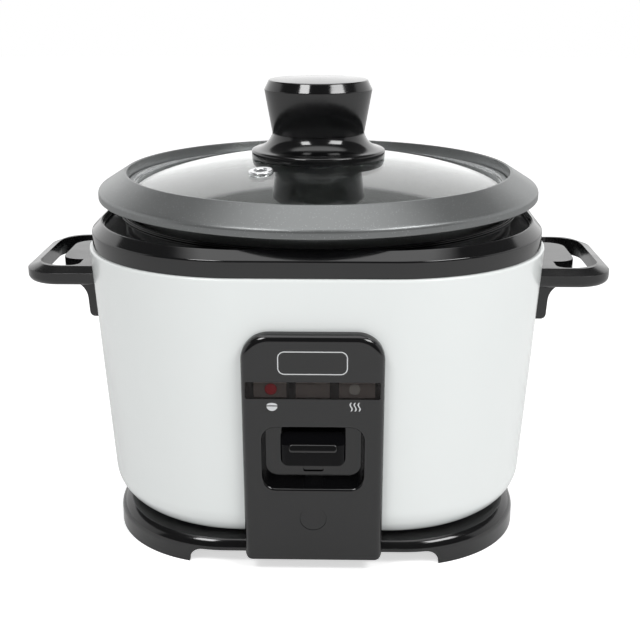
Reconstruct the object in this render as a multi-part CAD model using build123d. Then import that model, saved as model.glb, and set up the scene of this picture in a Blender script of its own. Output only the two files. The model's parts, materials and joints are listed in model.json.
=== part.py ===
from build123d import *
import math
import os

os.makedirs("parts", exist_ok=True)

# Rice cooker with a lift-out pot, a glass lid and a front lever switch.
# Millimetres. +Z is up, -Y is the front, the origin is the middle of the rest plane.

# Clearances
seat_gap = 0.1            # under a loose piece that sits on a flat face
fit_gap = 0.05            # radial gap of pins, screws and inserts
lid_gap = 0.4             # radial gap between lid and pot
slide_gap = 0.15          # radial gap of the pull rod and its guide

# Pot
pot_r = 92.0              # outside of the pot's wall
pot_wall = 1.5
pot_depth = 74.6          # underside to the lid ledge
pot_corner_r = 14.0
lid_ledge = 3.0           # width of the ledge that carries the lid
rim_rise = 11.3           # ledge to the top of the rim
rim_crest = 1.2           # flat crest of the rim
rim_reach = 11.2          # sloping face of the rim, sideways
rim_drop = 7.6            # sloping face of the rim, down
lip_reach = 1.5           # rolled lip outside the sloping face
lip_h = 4.4               # height of the rolled lip
rim_round = 0.9           # outer edge of the crest

# Lid
glass_t = 4.0
glass_rise = 12.7         # height of the dome over its edge
lid_band_t = 0.9          # metal band round the glass
lid_band_lap = 2.1        # how far the band laps over the glass
lid_band_edge = 1.2       # band above the glass edge
lid_band_rise = 0.5       # lapped edge over the band's outer edge
lid_band_round = 0.8
vent_at_r = 44.6          # vent's distance from the lid's axis
vent_at_deg = 234.8
vent_bore_r = 2.9
vent_tube_t = 1.1
vent_flange_w = 1.8
vent_flange_t = 1.1
vent_roll_r = 0.7         # rolled edge of the eyelet
glass_hole_r = 4.0        # hole for the knob's screw

# Lid knob
knob_skirt_r = 32.7
knob_skirt_edge = 3.6     # height of the skirt's rolled edge
knob_neck_r = 22.5
knob_neck_rise = 10.6     # top of the glass to the bottom of the grip
knob_wall = 2.4
knob_edge_r = 1.1         # rounding of the skirt's edge
knob_flare = 0.3          # how far the skirt's curve hangs under its chord
knob_boss_r = 7.0
grip_top_r = 26.2
grip_h = 21.0
grip_bevel_h = 4.4
grip_bevel_w = 2.2
grip_crown = 0.8
grip_round_r = 0.9
knob_screw_r = 2.4
knob_screw_head_r = 4.6
knob_screw_head_h = 2.6
knob_screw_bite = 14.0
knob_washer_r = 10.5
knob_washer_t = 2.0
knob_washer_round = 0.8

# Can, collar and base
liner_gap = 5.4           # pot wall to the liner
liner_wall = 0.6
liner_floor_hole_r = 66.0
liner_lip = 2.6           # top lip that hangs under the collar
jacket_gap = 0.55         # liner's radius to the shell's half width at its foot
shell_draft_deg = 3.65
shell_wall = 0.8
shell_corner_r = 74.0     # plan corner at the top of the shell
shell_curl_r = 16.0       # curl at the shell's foot
shell_edge_r = 0.7        # rolled edge at the shell's top
shell_top_flange = 4.0
shell_foot_flange = 12.5
shell_cut_gap = 0.6       # shell's cut-outs round what passes through them
cut_over = 0.5            # cuts start this far outside a face
collar_inset = 1.5        # collar stands in from the shell
collar_h = 11.5
collar_bevel = 4.2
collar_land = 1.0
collar_well = 2.5         # sunk ledge inside the collar
collar_plate = 3.0
collar_bore_gap = 3.0     # pot wall to the collar's opening
collar_neck_t = 1.7
collar_neck_h = 9.0
collar_lip_h = 1.5
collar_spigot_t = 1.6
collar_spigot_h = 5.0
rim_air = 5.4             # collar to the pot's lip
base_inset = 1.9          # base stands in from the shell's foot
base_corner_r = 57.0
base_h = 13.0
base_edge_r = 5.0
base_deck = 3.0
base_wall = 3.0
notch_w = 113.6           # arch between the legs, front and back
notch_h = 6.9
notch_r = 6.0
pillar_r = 5.0            # moulded pillars that carry the liner
pillar_at = 55.0
vent_slot_l = 36.0
vent_slot_w = 3.0
vent_slot_pitch = 9.0
vent_slot_count = 6
vent_slot_at = 27.0       # middle of a slot from the centre line

# Hot plate and element
plate_space = 48.0        # base deck to the liner's floor
spacer_h = 6.4
spacer_r = 4.5
spacer_at_r = 76.0
plate_r = 84.0
plate_t = 12.0
plate_edge_r = 3.0
plate_hole_r = 20.0
element_at_r = 58.0
element_r = 4.0
element_gap_deg = 30.0    # open part of the ring, at the back
element_leg = 18.0
terminal_r = 1.2
terminal_l = 5.0

# Thermostat
sensor_r = 18.4
sensor_wall = 1.0
sensor_round = 0.8
sensor_skirt_h = 7.0
sensor_travel = 1.5       # how far the pot can press the sensor down
ferrite_r = 9.5
magnet_air = 0.6          # lifted magnet to the pressed sensor
housing_flange_r = 27.0
housing_flange_t = 1.2
housing_wall = 1.5
housing_bore_r = 11.0
housing_h = 16.0
magnet_r = 10.4
magnet_h = 6.0
magnet_drop = 6.0         # plate's underside to the magnet's top
rod_r = 2.0
rod_collar_r = 6.0
rod_collar_t = 1.6
release_space = 10.4      # housing to the rod's collar
rod_tail = 6.0
sensor_spring_r = 14.4
sensor_wire_r = 0.55
sensor_turns = 4
release_spring_r = 4.4
release_wire_r = 0.4
release_turns = 5

# Lever switch
lever_press_deg = 6.5
pivot_back = 26.0         # pivot pin in front of the axis
pivot_drop = 3.5          # liner's floor to the pivot pin
pin_r = 2.0
hub_r = 4.6
arm_w = 8.0
arm_t = 3.0
fork_w = 13.0
fork_t = 3.3
fork_slot_w = 5.4
fork_reach = 4.0          # fork past the rod's axis
fork_gap = 0.3            # fork to the rod's collar
pad_w = 28.2
pad_h = 15.8
pad_t = 4.5
pad_below = 4.3           # pivot level to the pad's lower edge
pad_corner_r = 4.5
pad_edge_r = 1.35
pad_rib_w = 21.0
pad_rib_above = 1.1       # middle of the pad to the middle of the rib
pad_rib_h = 3.2
pad_rib_t = 2.4
pad_rib_sink = 0.9        # rib starts this far behind the pad's face
pad_rib_root = 1.8
pad_rib_draft_deg = 12.0
neck_w = 12.0
neck_h = 6.0
neck_back = 12.0          # neck reaches this far behind the pad
neck_side_gap = 0.8       # neck to the sides of its slot
neck_top_gap = 1.0
neck_slot_r = 1.0
apron_w = 16.0            # plate that closes the pocket's slot from behind
apron_t = 1.2
apron_gap = 0.7
apron_drop = 9.0
ear_t = 1.5
ear_gap = 0.4
ear_r = 5.0
frame_t = 1.2
frame_l = 18.0
frame_screw_r = 1.5

# Control panel
panel_w = 61.0
panel_proud = 5.2
panel_below = 6.6         # foot of the panel under the base's deck
panel_wall = 2.2
panel_top_r = 12.0
panel_foot_r = 3.0
panel_edge_r = 3.2
panel_reach = 20.0        # side walls run back to the can and the base
pocket_w = 43.9
pocket_above = 3.1        # pad to the pocket's top
pocket_below = 10.6       # pad to the pocket's floor
pocket_r = 6.0
pocket_wall = 1.3
pocket_depth = 7.2
window_h = 7.6
window_t = 1.2
window_side = 1.6         # ends of the window strip to the sides of the panel
window_corner_r = 0.6
window_above = 13.8       # pocket to the window strip
crown_above = 21.1        # window strip to the top of the panel
lamp_at = 17.8
lamp_r = 2.5
lamp_l = 8.0
holder_t = 2.4
holder_h = 9.0
plug_r = 5.75
plug_at = 25.3            # plug under the pad's lower edge
plug_flange_w = 1.3
plug_sunk = 0.2
panel_boss_r = 4.0

# Handles
handle_half = 39.5
handle_reach = 35.3       # loop outside the shell
handle_root = 30.0        # loop, tongue and stem are drawn from this far inside the can
handle_below_top = 13.6   # top of the shell to the top of the loop
handle_t = 8.3
handle_bevel_h = 2.2
handle_bevel_w = 6.0
handle_corner_r = 17.0
handle_bar = 4.8          # outer bar of the loop, with its bevel beside it
handle_arm = 7.5          # front and back arms of the loop
gap_from_shell = 9.0      # where the finger gap starts
gap_corner_r = 15.0       # outer corners of the finger gap
gap_root_r = 5.0          # its corners next to the shell
tongue_half = 20.0
tongue_reach = 20.2
tongue_r = 9.0
stem_half = 30.0
stem_t = 6.6
stem_h = 17.8
stem_edge_r = 2.5
stem_fillet = 9.0

# Inlet, lower back
inlet_above_base = 27.0   # base's deck to the middle of the inlet
inlet_flange_w = 50.0
inlet_flange_h = 30.0
inlet_flange_t = 2.5
inlet_body_w = 32.0
inlet_body_h = 23.0
inlet_depth = 18.0
inlet_wall = 3.0
inlet_pin_w = 2.0
inlet_pin_h = 4.0
inlet_pin_pitch = 7.0
inlet_pin_out = 9.0
inlet_tab = 5.0
inlet_screw_at = 20.5

# Screws and wires
screw_r = 2.0
screw_head_r = 3.8
screw_head_h = 2.4
base_screw_at = 30.0
base_screw_bite = 3.5
liner_screw_bite = 12.0
plate_screw_bite = 6.0
handle_screw_at = 18.0
handle_screw_bite = 5.0
handle_screw_below = 2.0  # under the loop
panel_screw_bite = 3.0
panel_screw_at = 18.0     # lower screws, either side of the middle
wire_r = 1.3
wire_bend_r = 7.0
wire_bend_share = 0.45    # most of the shorter run that an arc takes
wire_gap = 0.2            # wire's end to its terminal
pin_wire_gap = 1.0        # wire's end to the leaning inlet pin
wire_lead = 10.0          # straight run out of a terminal
wire_level = 8.0          # low runs over the base's deck
wire_turn_y = 30.0        # where the live wire turns across
wire_side_at = (-30.0, 10.0)

# Contact block, warm thermostat and fuse
block_w = 20.0
block_d = 18.0
block_h = 34.0
block_chamfer = 0.8
block_at_x = 20.0
block_at_y = -55.0
leaf_t = 0.4
leaf_w = 5.0
leaf_gap = 0.4
warm_r = 8.0
warm_h = 7.0
warm_at = (-34.0, 20.0)
blade_w = 4.0
blade_t = 0.8
blade_l = 6.0
fuse_r = 2.2
fuse_l = 14.0
fuse_at = (34.0, 20.0)
clip_w = 8.0
clip_l = 24.0
clip_t = 1.0

# Levels worked out from the sizes above
liner_floor_z = base_h + plate_space
plate_bottom_z = liner_floor_z + liner_wall + spacer_h
plate_top_z = plate_bottom_z + plate_t
pot_bottom_z = plate_top_z + seat_gap
ledge_z = pot_bottom_z + pot_depth
rim_top_z = ledge_z + rim_rise
lip_bottom_z = rim_top_z - rim_drop - lip_h
collar_top_z = lip_bottom_z - rim_air
shell_top_z = collar_top_z - collar_h
collar_well_z = collar_top_z - collar_well
collar_under_z = collar_well_z - collar_plate
inlet_at_z = base_h + inlet_above_base

# Radii worked out from the sizes above
pot_bore_r = pot_r - pot_wall
rim_in_r = pot_bore_r + lid_ledge
rim_step_r = rim_in_r + pot_wall
crest_r = rim_in_r + rim_crest
slope_r = crest_r + rim_reach
lip_r = slope_r + lip_reach
liner_bore_r = pot_r + liner_gap
liner_r = liner_bore_r + liner_wall
collar_bore_r = pot_r + collar_bore_gap
shell_slope = math.tan(math.radians(shell_draft_deg))
shell_foot_half = liner_r + jacket_gap
base_half = shell_foot_half - base_inset


def shell_half(z):
    """Half width of the can at a height."""
    return shell_foot_half + (z - base_h) * shell_slope


def rounded_slab(half, corner, low, high):
    """Rounded-square slab between two heights."""
    return extrude(Plane.XY.offset(low) * RectangleRounded(2 * half, 2 * half, corner), high - low)


def can_block(inset, low, high):
    """Filled can: drafted rounded square with a curled foot, set in from the outside by inset."""
    half = shell_half(high) - inset
    corner = shell_corner_r - (shell_half(shell_top_z) - shell_half(high)) - inset
    plan = Plane.XY.offset(high) * RectangleRounded(2 * half, 2 * half, corner)
    block = extrude(plan, high - low, dir=(0, 0, -1), taper=shell_draft_deg)
    return fillet(block.faces().sort_by(Axis.Z)[0].edges(), shell_curl_r - inset)


def turned(points, rounds=()):
    """Solid of revolution about Z from (radius, height) points, with (point number, radius) rounds."""
    outline = make_face(Polyline(*points, close=True))
    for number, radius in rounds:
        corner = outline.vertices().sort_by_distance(points[number])[0]
        outline = fillet(corner, radius)
    return revolve(Plane.XZ * outline, Axis.Z)


def rod(radius, low, high, x=0.0, y=0.0):
    """Upright cylinder between two heights."""
    return Pos(x, y, low) * Cylinder(radius, high - low, align=(Align.CENTER, Align.CENTER, Align.MIN))


def bar(x, y, z):
    """Box from three (low, high) spans."""
    size = [high - low for low, high in (x, y, z)]
    centre = [(high + low) / 2 for low, high in (x, y, z)]
    return Pos(*centre) * Box(*size)


def screw(head_z, tip_z, x, y, radius=screw_r, head_r=screw_head_r, head_h=screw_head_h):
    """Upright screw: the head's seat is at head_z, the tip may point up or down."""
    way = 1 if tip_z > head_z else -1
    shank = rod(radius, min(head_z, tip_z), max(head_z, tip_z), x, y)
    head = rod(head_r, min(head_z, head_z - way * head_h), max(head_z, head_z - way * head_h), x, y)
    return shank + chamfer(head.faces().sort_by(Axis.Z)[0 if way > 0 else -1].edges(), head_h / 4)


def coil(radius, wire, turns, low, high):
    """Compression spring between two heights, one unbroken wire."""
    height = high - low - 2 * wire
    path = Pos(0, 0, low + wire) * Edge.make_helix(pitch=height / turns, height=height, radius=radius)
    return sweep(Plane(path @ 0, z_dir=path % 0) * Circle(wire), path=Wire([path]), is_frenet=True)


def wire_run(points):
    """Insulated wire of straight runs joined by arcs that fit in the runs beside them."""
    corners = [Vector(*point) for point in points]
    radii = []
    for before, corner, after in zip(corners, corners[1:], corners[2:]):
        run_in = corner - before
        run_out = after - corner
        half_turn = math.radians(run_in.get_angle(run_out)) / 2
        room = wire_bend_share * min(run_in.length, run_out.length) / math.tan(half_turn)
        radii.append(min(wire_bend_r, room))
    path = FilletPolyline(*points, radius=radii)
    return sweep(Plane(path @ 0, z_dir=path % 0) * Circle(wire_r), path=path)


def group(solids):
    """Several separate solids in one node."""
    return Compound(children=[solid for shape in solids for solid in shape.solids()])


def save(shape, node):
    """Write one node."""
    export_step(shape, f"parts/{node}.step")


# Places on the can: the front face leans out by the draft, and so does the back
front_lean = Rotation(shell_draft_deg, 0, 0)


def on_front(z):
    """Frame on the can's front face: X to the right, Y into the can, Z up along the face."""
    return Pos(0, -shell_half(z), z) * front_lean


def on_back(z):
    """The same frame turned round to the can's back face."""
    return Rotation(0, 0, 180) * on_front(z)


# Inner pot: spun aluminium, with a ledge for the lid and a rim that slopes out to a rolled lip
slope_t = pot_wall * math.hypot(rim_reach, rim_drop) / rim_reach
pot_points = [
    (0, pot_bottom_z),
    (pot_r, pot_bottom_z),
    (pot_r, ledge_z - pot_wall),
    (rim_step_r, ledge_z - pot_wall),
    (rim_step_r, rim_top_z - slope_t),
    (slope_r - pot_wall, rim_top_z - rim_drop - slope_t / 2),
    (lip_r - pot_wall, rim_top_z - rim_drop - slope_t),
    (lip_r - pot_wall, lip_bottom_z),
    (lip_r, lip_bottom_z),
    (lip_r, rim_top_z - rim_drop - lip_reach / 2),
    (slope_r, rim_top_z - rim_drop),
    (crest_r, rim_top_z),
    (rim_in_r, rim_top_z),
    (rim_in_r, ledge_z),
    (pot_bore_r, ledge_z),
    (pot_bore_r, pot_bottom_z + pot_wall),
    (0, pot_bottom_z + pot_wall),
]
inner_pot = turned(pot_points, [(1, pot_corner_r), (15, pot_corner_r - pot_wall), (11, rim_round)])
save(inner_pot, "inner_pot")

# Lid: domed glass in a metal band that sits on the pot's ledge
band_r = rim_in_r - lid_gap
band_low_z = ledge_z + seat_gap
glass_r = band_r - lid_band_t
glass_edge_z = band_low_z + lid_band_t + glass_t
dome_top_z = glass_edge_z + glass_rise
dome_r = (glass_r ** 2 + glass_rise ** 2) / (2 * glass_rise)


def glass_top(r):
    """Height of the glass's outside at a distance from the axis."""
    return dome_top_z - dome_r + math.sqrt(dome_r ** 2 - r ** 2)


def glass_under(r):
    """Height of the glass's inside at a distance from the axis."""
    return glass_top(r) - glass_t


half_r = glass_r / 2
glass_outline = (
    Line((0, dome_top_z - glass_t), (0, dome_top_z))
    + ThreePointArc((0, dome_top_z), (half_r, glass_top(half_r)), (glass_r, glass_edge_z))
    + Line((glass_r, glass_edge_z), (glass_r, glass_edge_z - glass_t))
    + ThreePointArc(
        (glass_r, glass_edge_z - glass_t), (half_r, glass_under(half_r)), (0, dome_top_z - glass_t)
    )
)
dome = revolve(Plane.XZ * make_face(glass_outline), Axis.Z)
lid_band = turned(
    [
        (band_r - lid_band_t - lid_band_lap, band_low_z),
        (band_r, band_low_z),
        (band_r, glass_edge_z + lid_band_edge),
        (band_r - lid_band_t - lid_band_lap, glass_edge_z + lid_band_edge + lid_band_rise),
    ],
    [(2, lid_band_round)],
)
save(lid_band - dome, "lid_rim")

# Steam vent: an eyelet set square to the glass, with its edge rolled over on both sides
vent_angle = math.radians(vent_at_deg)
vent_x = vent_at_r * math.cos(vent_angle)
vent_y = vent_at_r * math.sin(vent_angle)
vent_lean = math.degrees(math.asin(vent_at_r / dome_r))
vent_place = (
    Pos(vent_x, vent_y, glass_top(vent_at_r)) * Rotation(0, 0, vent_at_deg) * Rotation(0, vent_lean, 0)
)
vent_tube_r = vent_bore_r + vent_tube_t
vent_flange_r = vent_tube_r + vent_flange_w
vent_end = glass_t + fit_gap
vent_turned = turned(
    [
        (vent_bore_r, -vent_end - vent_flange_t),
        (vent_flange_r, -vent_end - vent_flange_t),
        (vent_flange_r, -vent_end),
        (vent_tube_r, -vent_end),
        (vent_tube_r, 0),
        (vent_flange_r, 0),
        (vent_flange_r, vent_flange_t),
        (vent_bore_r, vent_flange_t),
    ],
    [(6, vent_roll_r), (7, vent_roll_r)],
)
vent_hole = vent_place * Cylinder(vent_tube_r + fit_gap, 4 * glass_t)
save(vent_place * vent_turned, "steam_vent")
save(dome - rod(glass_hole_r, ledge_z, rim_top_z + glass_t * 4) - vent_hole, "lid_glass")

# Lid knob: a flared skirt on the glass, a grip on the skirt, and one screw from below
skirt_in_r = knob_skirt_r - knob_wall
skirt_low_z = glass_top(skirt_in_r)
skirt_edge_z = skirt_low_z + knob_skirt_edge
neck_z = dome_top_z + knob_neck_rise
flare_r = knob_neck_r + (knob_skirt_r - knob_neck_r) * knob_flare
flare_z = skirt_edge_z + (neck_z - skirt_edge_z) * knob_flare
screw_bore_r = knob_screw_r + fit_gap
skirt_outline = (
    Polyline((skirt_in_r, skirt_low_z), (knob_skirt_r, skirt_low_z), (knob_skirt_r, skirt_edge_z))
    + ThreePointArc((knob_skirt_r, skirt_edge_z), (flare_r, flare_z), (knob_neck_r, neck_z))
    + Polyline(
        (knob_neck_r, neck_z),
        (screw_bore_r, neck_z),
        (screw_bore_r, dome_top_z),
        (knob_boss_r, dome_top_z),
        (knob_boss_r, neck_z - 2 * knob_wall),
        (knob_neck_r - 2 * knob_wall, neck_z - 2 * knob_wall),
        (knob_neck_r - knob_wall / 2, skirt_edge_z - knob_wall / 2),
        (skirt_in_r, skirt_edge_z - knob_wall),
        (skirt_in_r, skirt_low_z),
    )
)
knob_skirt = revolve(Plane.XZ * make_face(skirt_outline), Axis.Z)
skirt_edges = knob_skirt.edges().filter_by(GeomType.CIRCLE)
rolled_edge = skirt_edges.filter_by(lambda edge: abs(edge.radius - knob_skirt_r) < fit_gap)
knob_skirt = fillet(rolled_edge, knob_edge_r)
save(knob_skirt, "knob_skirt")

grip_top_z = neck_z + grip_h
crown_edge_r = grip_top_r - grip_bevel_w
crown_edge_z = grip_top_z + grip_bevel_h
crown_z = crown_edge_z + grip_crown
grip_outline = (
    Polyline(
        (0, neck_z),
        (knob_neck_r, neck_z),
        (grip_top_r, grip_top_z),
        (crown_edge_r, crown_edge_z),
    )
    + ThreePointArc(
        (crown_edge_r, crown_edge_z), (crown_edge_r / 2, crown_edge_z + grip_crown * 3 / 4), (0, crown_z)
    )
    + Line((0, crown_z), (0, neck_z))
)
knob_grip = revolve(Plane.XZ * make_face(grip_outline), Axis.Z)
bevel_edges = knob_grip.edges().filter_by(GeomType.CIRCLE).sort_by(Axis.Z)[-2:]
knob_grip = fillet(bevel_edges, grip_round_r)
screw_end_z = neck_z + knob_screw_bite
save(knob_grip - rod(screw_bore_r, neck_z, screw_end_z + fit_gap), "knob_grip")

washer_top_z = glass_under(knob_washer_r)
washer_low_z = washer_top_z - knob_washer_t
washer = rod(knob_washer_r, washer_low_z, washer_top_z)
washer = fillet(washer.faces().sort_by(Axis.Z)[0].edges(), knob_washer_round)
save(washer - rod(screw_bore_r, washer_low_z, washer_top_z), "knob_washer")
knob_screw = screw(washer_low_z, screw_end_z, 0, 0, knob_screw_r, knob_screw_head_r, knob_screw_head_h)
save(knob_screw, "knob_screw")

# Top collar: moulded ring that caps the can, with a sunk ledge and a neck round the pot opening
collar_half = shell_half(shell_top_z) - collar_inset
collar_corner_r = shell_corner_r - collar_inset
top_opening_half = shell_half(shell_top_z) - shell_top_flange
top_opening_corner_r = shell_corner_r - shell_top_flange
spigot_half = top_opening_half - slide_gap
spigot_corner_r = top_opening_corner_r - slide_gap
hollow_half = spigot_half - collar_spigot_t
hollow_corner_r = spigot_corner_r - collar_spigot_t
well_half = collar_half - collar_bevel - collar_land
well_corner_r = collar_corner_r - collar_bevel - collar_land
collar = rounded_slab(collar_half, collar_corner_r, shell_top_z, collar_top_z)
collar = chamfer(collar.faces().sort_by(Axis.Z)[-1].edges(), collar_bevel)
collar += rounded_slab(spigot_half, spigot_corner_r, shell_top_z - collar_spigot_h, shell_top_z)
collar -= rounded_slab(well_half, well_corner_r, collar_well_z, collar_top_z)
collar -= rounded_slab(hollow_half, hollow_corner_r, shell_top_z - collar_spigot_h, collar_under_z)
collar += rod(collar_bore_r + collar_neck_t, collar_well_z - collar_neck_h, collar_well_z + collar_lip_h)
collar -= rod(collar_bore_r, shell_top_z - collar_spigot_h, collar_top_z)
save(collar, "top_collar")

# Inner liner: pressed can that hangs under the collar and carries the hot plate on its floor
spacer_places = [(spacer_at_r, 90 + 120 * number) for number in range(3)]
spacer_xy = [
    (r * math.cos(math.radians(deg)), r * math.sin(math.radians(deg))) for r, deg in spacer_places
]
pillar_xy = [(x, y) for x in (-pillar_at, pillar_at) for y in (-pillar_at, pillar_at)]
liner = turned(
    [
        (liner_floor_hole_r, liner_floor_z),
        (liner_r, liner_floor_z),
        (liner_r, collar_under_z - liner_wall),
        (liner_bore_r + liner_lip, collar_under_z - liner_wall),
        (liner_bore_r + liner_lip, collar_under_z),
        (liner_bore_r, collar_under_z),
        (liner_bore_r, liner_floor_z + liner_wall),
        (liner_floor_hole_r, liner_floor_z + liner_wall),
    ]
)
for x, y in spacer_xy + pillar_xy:
    liner -= rod(screw_r + fit_gap, liner_floor_z, liner_floor_z + liner_wall, x, y)
save(liner, "inner_liner")

# Hot plate: cast aluminium disc with the element cast into its underside and a hole for the sensor
element_half_open = element_gap_deg / 2
ring_sweep = 360 - element_gap_deg
ring_start = 90 + element_half_open


def element_ring(radius):
    """Open ring of the tubular element."""
    section = Plane.XZ * Pos(element_at_r, plate_bottom_z) * Circle(radius)
    return Rotation(0, 0, ring_start) * revolve(section, Axis.Z, ring_sweep)


leg_xy = []
for deg in (ring_start, ring_start + ring_sweep):
    angle = math.radians(deg)
    leg_xy.append((element_at_r * math.cos(angle), element_at_r * math.sin(angle)))


def element_body(radius):
    """Ring with its two rounded ends and the legs that hang from them."""
    body = element_ring(radius)
    for x, y in leg_xy:
        body += Pos(x, y, plate_bottom_z) * Sphere(radius)
        body += rod(radius, plate_bottom_z - element_leg, plate_bottom_z, x, y)
    return body


frame_front_y = -housing_flange_r - frame_l - slide_gap
frame_back_y = -housing_flange_r - slide_gap
frame_screw_y = (frame_front_y + 3 * frame_screw_r, frame_back_y - 3 * frame_screw_r)
plate = turned(
    [
        (plate_hole_r, plate_bottom_z),
        (plate_r, plate_bottom_z),
        (plate_r, plate_top_z),
        (plate_hole_r, plate_top_z),
    ],
    [(2, plate_edge_r)],
)
plate -= element_body(element_r + fit_gap)
for x, y in spacer_xy:
    plate -= rod(screw_r + fit_gap, plate_bottom_z, plate_bottom_z + plate_screw_bite + fit_gap, x, y)
for y in frame_screw_y:
    plate -= rod(frame_screw_r + fit_gap, plate_bottom_z, plate_bottom_z + plate_screw_bite + fit_gap, 0, y)
save(plate, "hot_plate")
save(element_body(element_r), "heating_element")

leg_low_z = plate_bottom_z - element_leg
terminals = []
for x, y in leg_xy:
    stud = rod(terminal_r, leg_low_z - terminal_l, leg_low_z, x, y)
    terminals.append(stud + rod(2 * terminal_r, leg_low_z - terminal_r, leg_low_z, x, y))
save(group(terminals), "element_terminals")

spacers = []
plate_screws = []
for x, y in spacer_xy:
    post = rod(spacer_r, liner_floor_z + liner_wall, plate_bottom_z, x, y)
    spacers.append(post - rod(screw_r + fit_gap, liner_floor_z, plate_bottom_z, x, y))
    plate_screws.append(screw(liner_floor_z, plate_bottom_z + plate_screw_bite, x, y))
save(group(spacers), "plate_spacers")
save(group(plate_screws), "plate_screws")

# Base: moulded tray with a skirt arched into legs, vent slots and pillars for the liner
base_wall_half = base_half - base_wall
base_wall_corner_r = base_corner_r - base_wall
base_block = rounded_slab(base_half, base_corner_r, 0, base_h)
base_block = fillet(base_block.faces().sort_by(Axis.Z)[-1].edges(), base_edge_r)
base = base_block - rounded_slab(base_wall_half, base_wall_corner_r, 0, base_h - base_deck)
arch = Plane.XZ.offset(-base_half) * RectangleRounded(notch_w, 2 * notch_h, notch_r)
base -= extrude(arch, 2 * base_half)
slot_span = (vent_slot_count - 1) * vent_slot_pitch
for number in range(vent_slot_count):
    slot_y = number * vent_slot_pitch - slot_span / 2
    for side in (-1, 1):
        slot = Pos(side * vent_slot_at, slot_y, base_h) * SlotOverall(vent_slot_l, vent_slot_w)
        base -= extrude(slot, -base_deck)
for x, y in pillar_xy:
    base += rod(pillar_r, base_h, liner_floor_z, x, y)
    base -= rod(screw_r + fit_gap, liner_floor_z - liner_screw_bite - fit_gap, liner_floor_z, x, y)
foot_flange_half = shell_foot_half - shell_curl_r
base_screw_x = foot_flange_half - shell_foot_flange / 2
base_screw_xy = [(x, y) for x in (-base_screw_x, base_screw_x) for y in (-base_screw_at, base_screw_at)]
for x, y in base_screw_xy:
    base -= rod(screw_r + fit_gap, base_h - base_deck, base_h, x, y)
save(base, "base")

liner_screws = []
for x, y in pillar_xy:
    liner_screws.append(screw(liner_floor_z + liner_wall, liner_floor_z - liner_screw_bite, x, y))
save(group(liner_screws), "liner_screws")
base_screws = []
for x, y in base_screw_xy:
    base_screws.append(screw(base_h - base_deck, base_h + base_screw_bite, x, y))
save(group(base_screws), "base_screws")

# Thermostat: housing under the plate, sprung sensor cap, ferrite, and a magnet on the pull rod
housing_low_z = plate_bottom_z - housing_h
housing = turned(
    [
        (rod_r + slide_gap, housing_low_z),
        (housing_bore_r + housing_wall, housing_low_z),
        (housing_bore_r + housing_wall, plate_bottom_z - housing_flange_t),
        (housing_flange_r, plate_bottom_z - housing_flange_t),
        (housing_flange_r, plate_bottom_z),
        (housing_bore_r, plate_bottom_z),
        (housing_bore_r, housing_low_z + housing_wall),
        (rod_r + slide_gap, housing_low_z + housing_wall),
    ]
)
save(housing, "thermostat_housing")
cap_top_z = pot_bottom_z - seat_gap
cap_under_z = cap_top_z - sensor_wall
sensor_cap = turned(
    [
        (0, cap_under_z),
        (sensor_r - sensor_wall, cap_under_z),
        (sensor_r - sensor_wall, cap_top_z - sensor_skirt_h),
        (sensor_r, cap_top_z - sensor_skirt_h),
        (sensor_r, cap_top_z),
        (0, cap_top_z),
    ],
    [(4, sensor_round)],
)
save(sensor_cap, "sensor_cap")
save(coil(sensor_spring_r, sensor_wire_r, sensor_turns, plate_bottom_z, cap_under_z), "thermostat_spring")
magnet_top_z = plate_bottom_z - magnet_drop
lever_press = math.radians(lever_press_deg)
rod_lift = (pivot_back + fork_reach) * lever_press
ferrite_low_z = magnet_top_z + rod_lift + sensor_travel + magnet_air
save(rod(ferrite_r, ferrite_low_z, cap_under_z), "sensor_ferrite")
magnet_low_z = magnet_top_z - magnet_h
rod_collar_top_z = housing_low_z - release_space
rod_collar_z = rod_collar_top_z - rod_collar_t
save(rod(magnet_r, magnet_low_z, magnet_top_z), "magnet")
pull_rod = rod(rod_r, rod_collar_z - rod_tail, magnet_low_z)
pull_rod += rod(rod_collar_r, rod_collar_z, rod_collar_top_z)
save(pull_rod, "pull_rod")
save(coil(release_spring_r, release_wire_r, release_turns, rod_collar_top_z, housing_low_z), "release_spring")

# Lever switch: a finger pad on a steel arm that rocks on a pin and lifts the pull rod with a fork
pivot_y = -pivot_back
pivot_z = liner_floor_z - pivot_drop
pad_low_z = pivot_z - pad_below
pad_top_z = pad_low_z + pad_h
pad_mid_z = (pad_low_z + pad_top_z) / 2
pad_front_y = -shell_half(pad_mid_z) - panel_proud + fit_gap
pad_back_y = pad_front_y + pad_t
pivot_axis = Pos(0, pivot_y, pivot_z) * Rotation(0, 90, 0)
neck_back_y = pad_back_y + neck_back
arm_front_y = pad_back_y
arm_span_z = (pivot_z - arm_t / 2, pivot_z + arm_t / 2)
arm_bar = bar((-arm_w / 2, arm_w / 2), (arm_front_y, pivot_y), arm_span_z)
pad_plan = Plane.XZ.offset(-pad_back_y) * Pos(0, pad_mid_z) * RectangleRounded(pad_w, pad_h, pad_corner_r)
pad = extrude(pad_plan, pad_t)
pad = fillet(pad.faces().sort_by(Axis.Y)[0].edges(), pad_edge_r)
rib_plan = Plane.XZ.offset(-pad_front_y - pad_rib_sink) * Pos(0, pad_mid_z + pad_rib_above)
rib = extrude(rib_plan * SlotOverall(pad_rib_w, pad_rib_h), pad_rib_t, taper=pad_rib_draft_deg)
rib += extrude(rib_plan * SlotOverall(pad_rib_w, pad_rib_h), -pad_rib_root)
neck = bar((-neck_w / 2, neck_w / 2), (pad_back_y, neck_back_y), (pivot_z - neck_h / 2, pivot_z + neck_h / 2))
pocket_back_y = -shell_half(pad_low_z - pocket_below) - panel_proud + pocket_depth + pocket_wall
apron_y = (pocket_back_y + apron_gap, pocket_back_y + apron_gap + apron_t)
apron_z = (pivot_z - neck_h / 2 - apron_drop, pivot_z + neck_h / 2)
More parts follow.
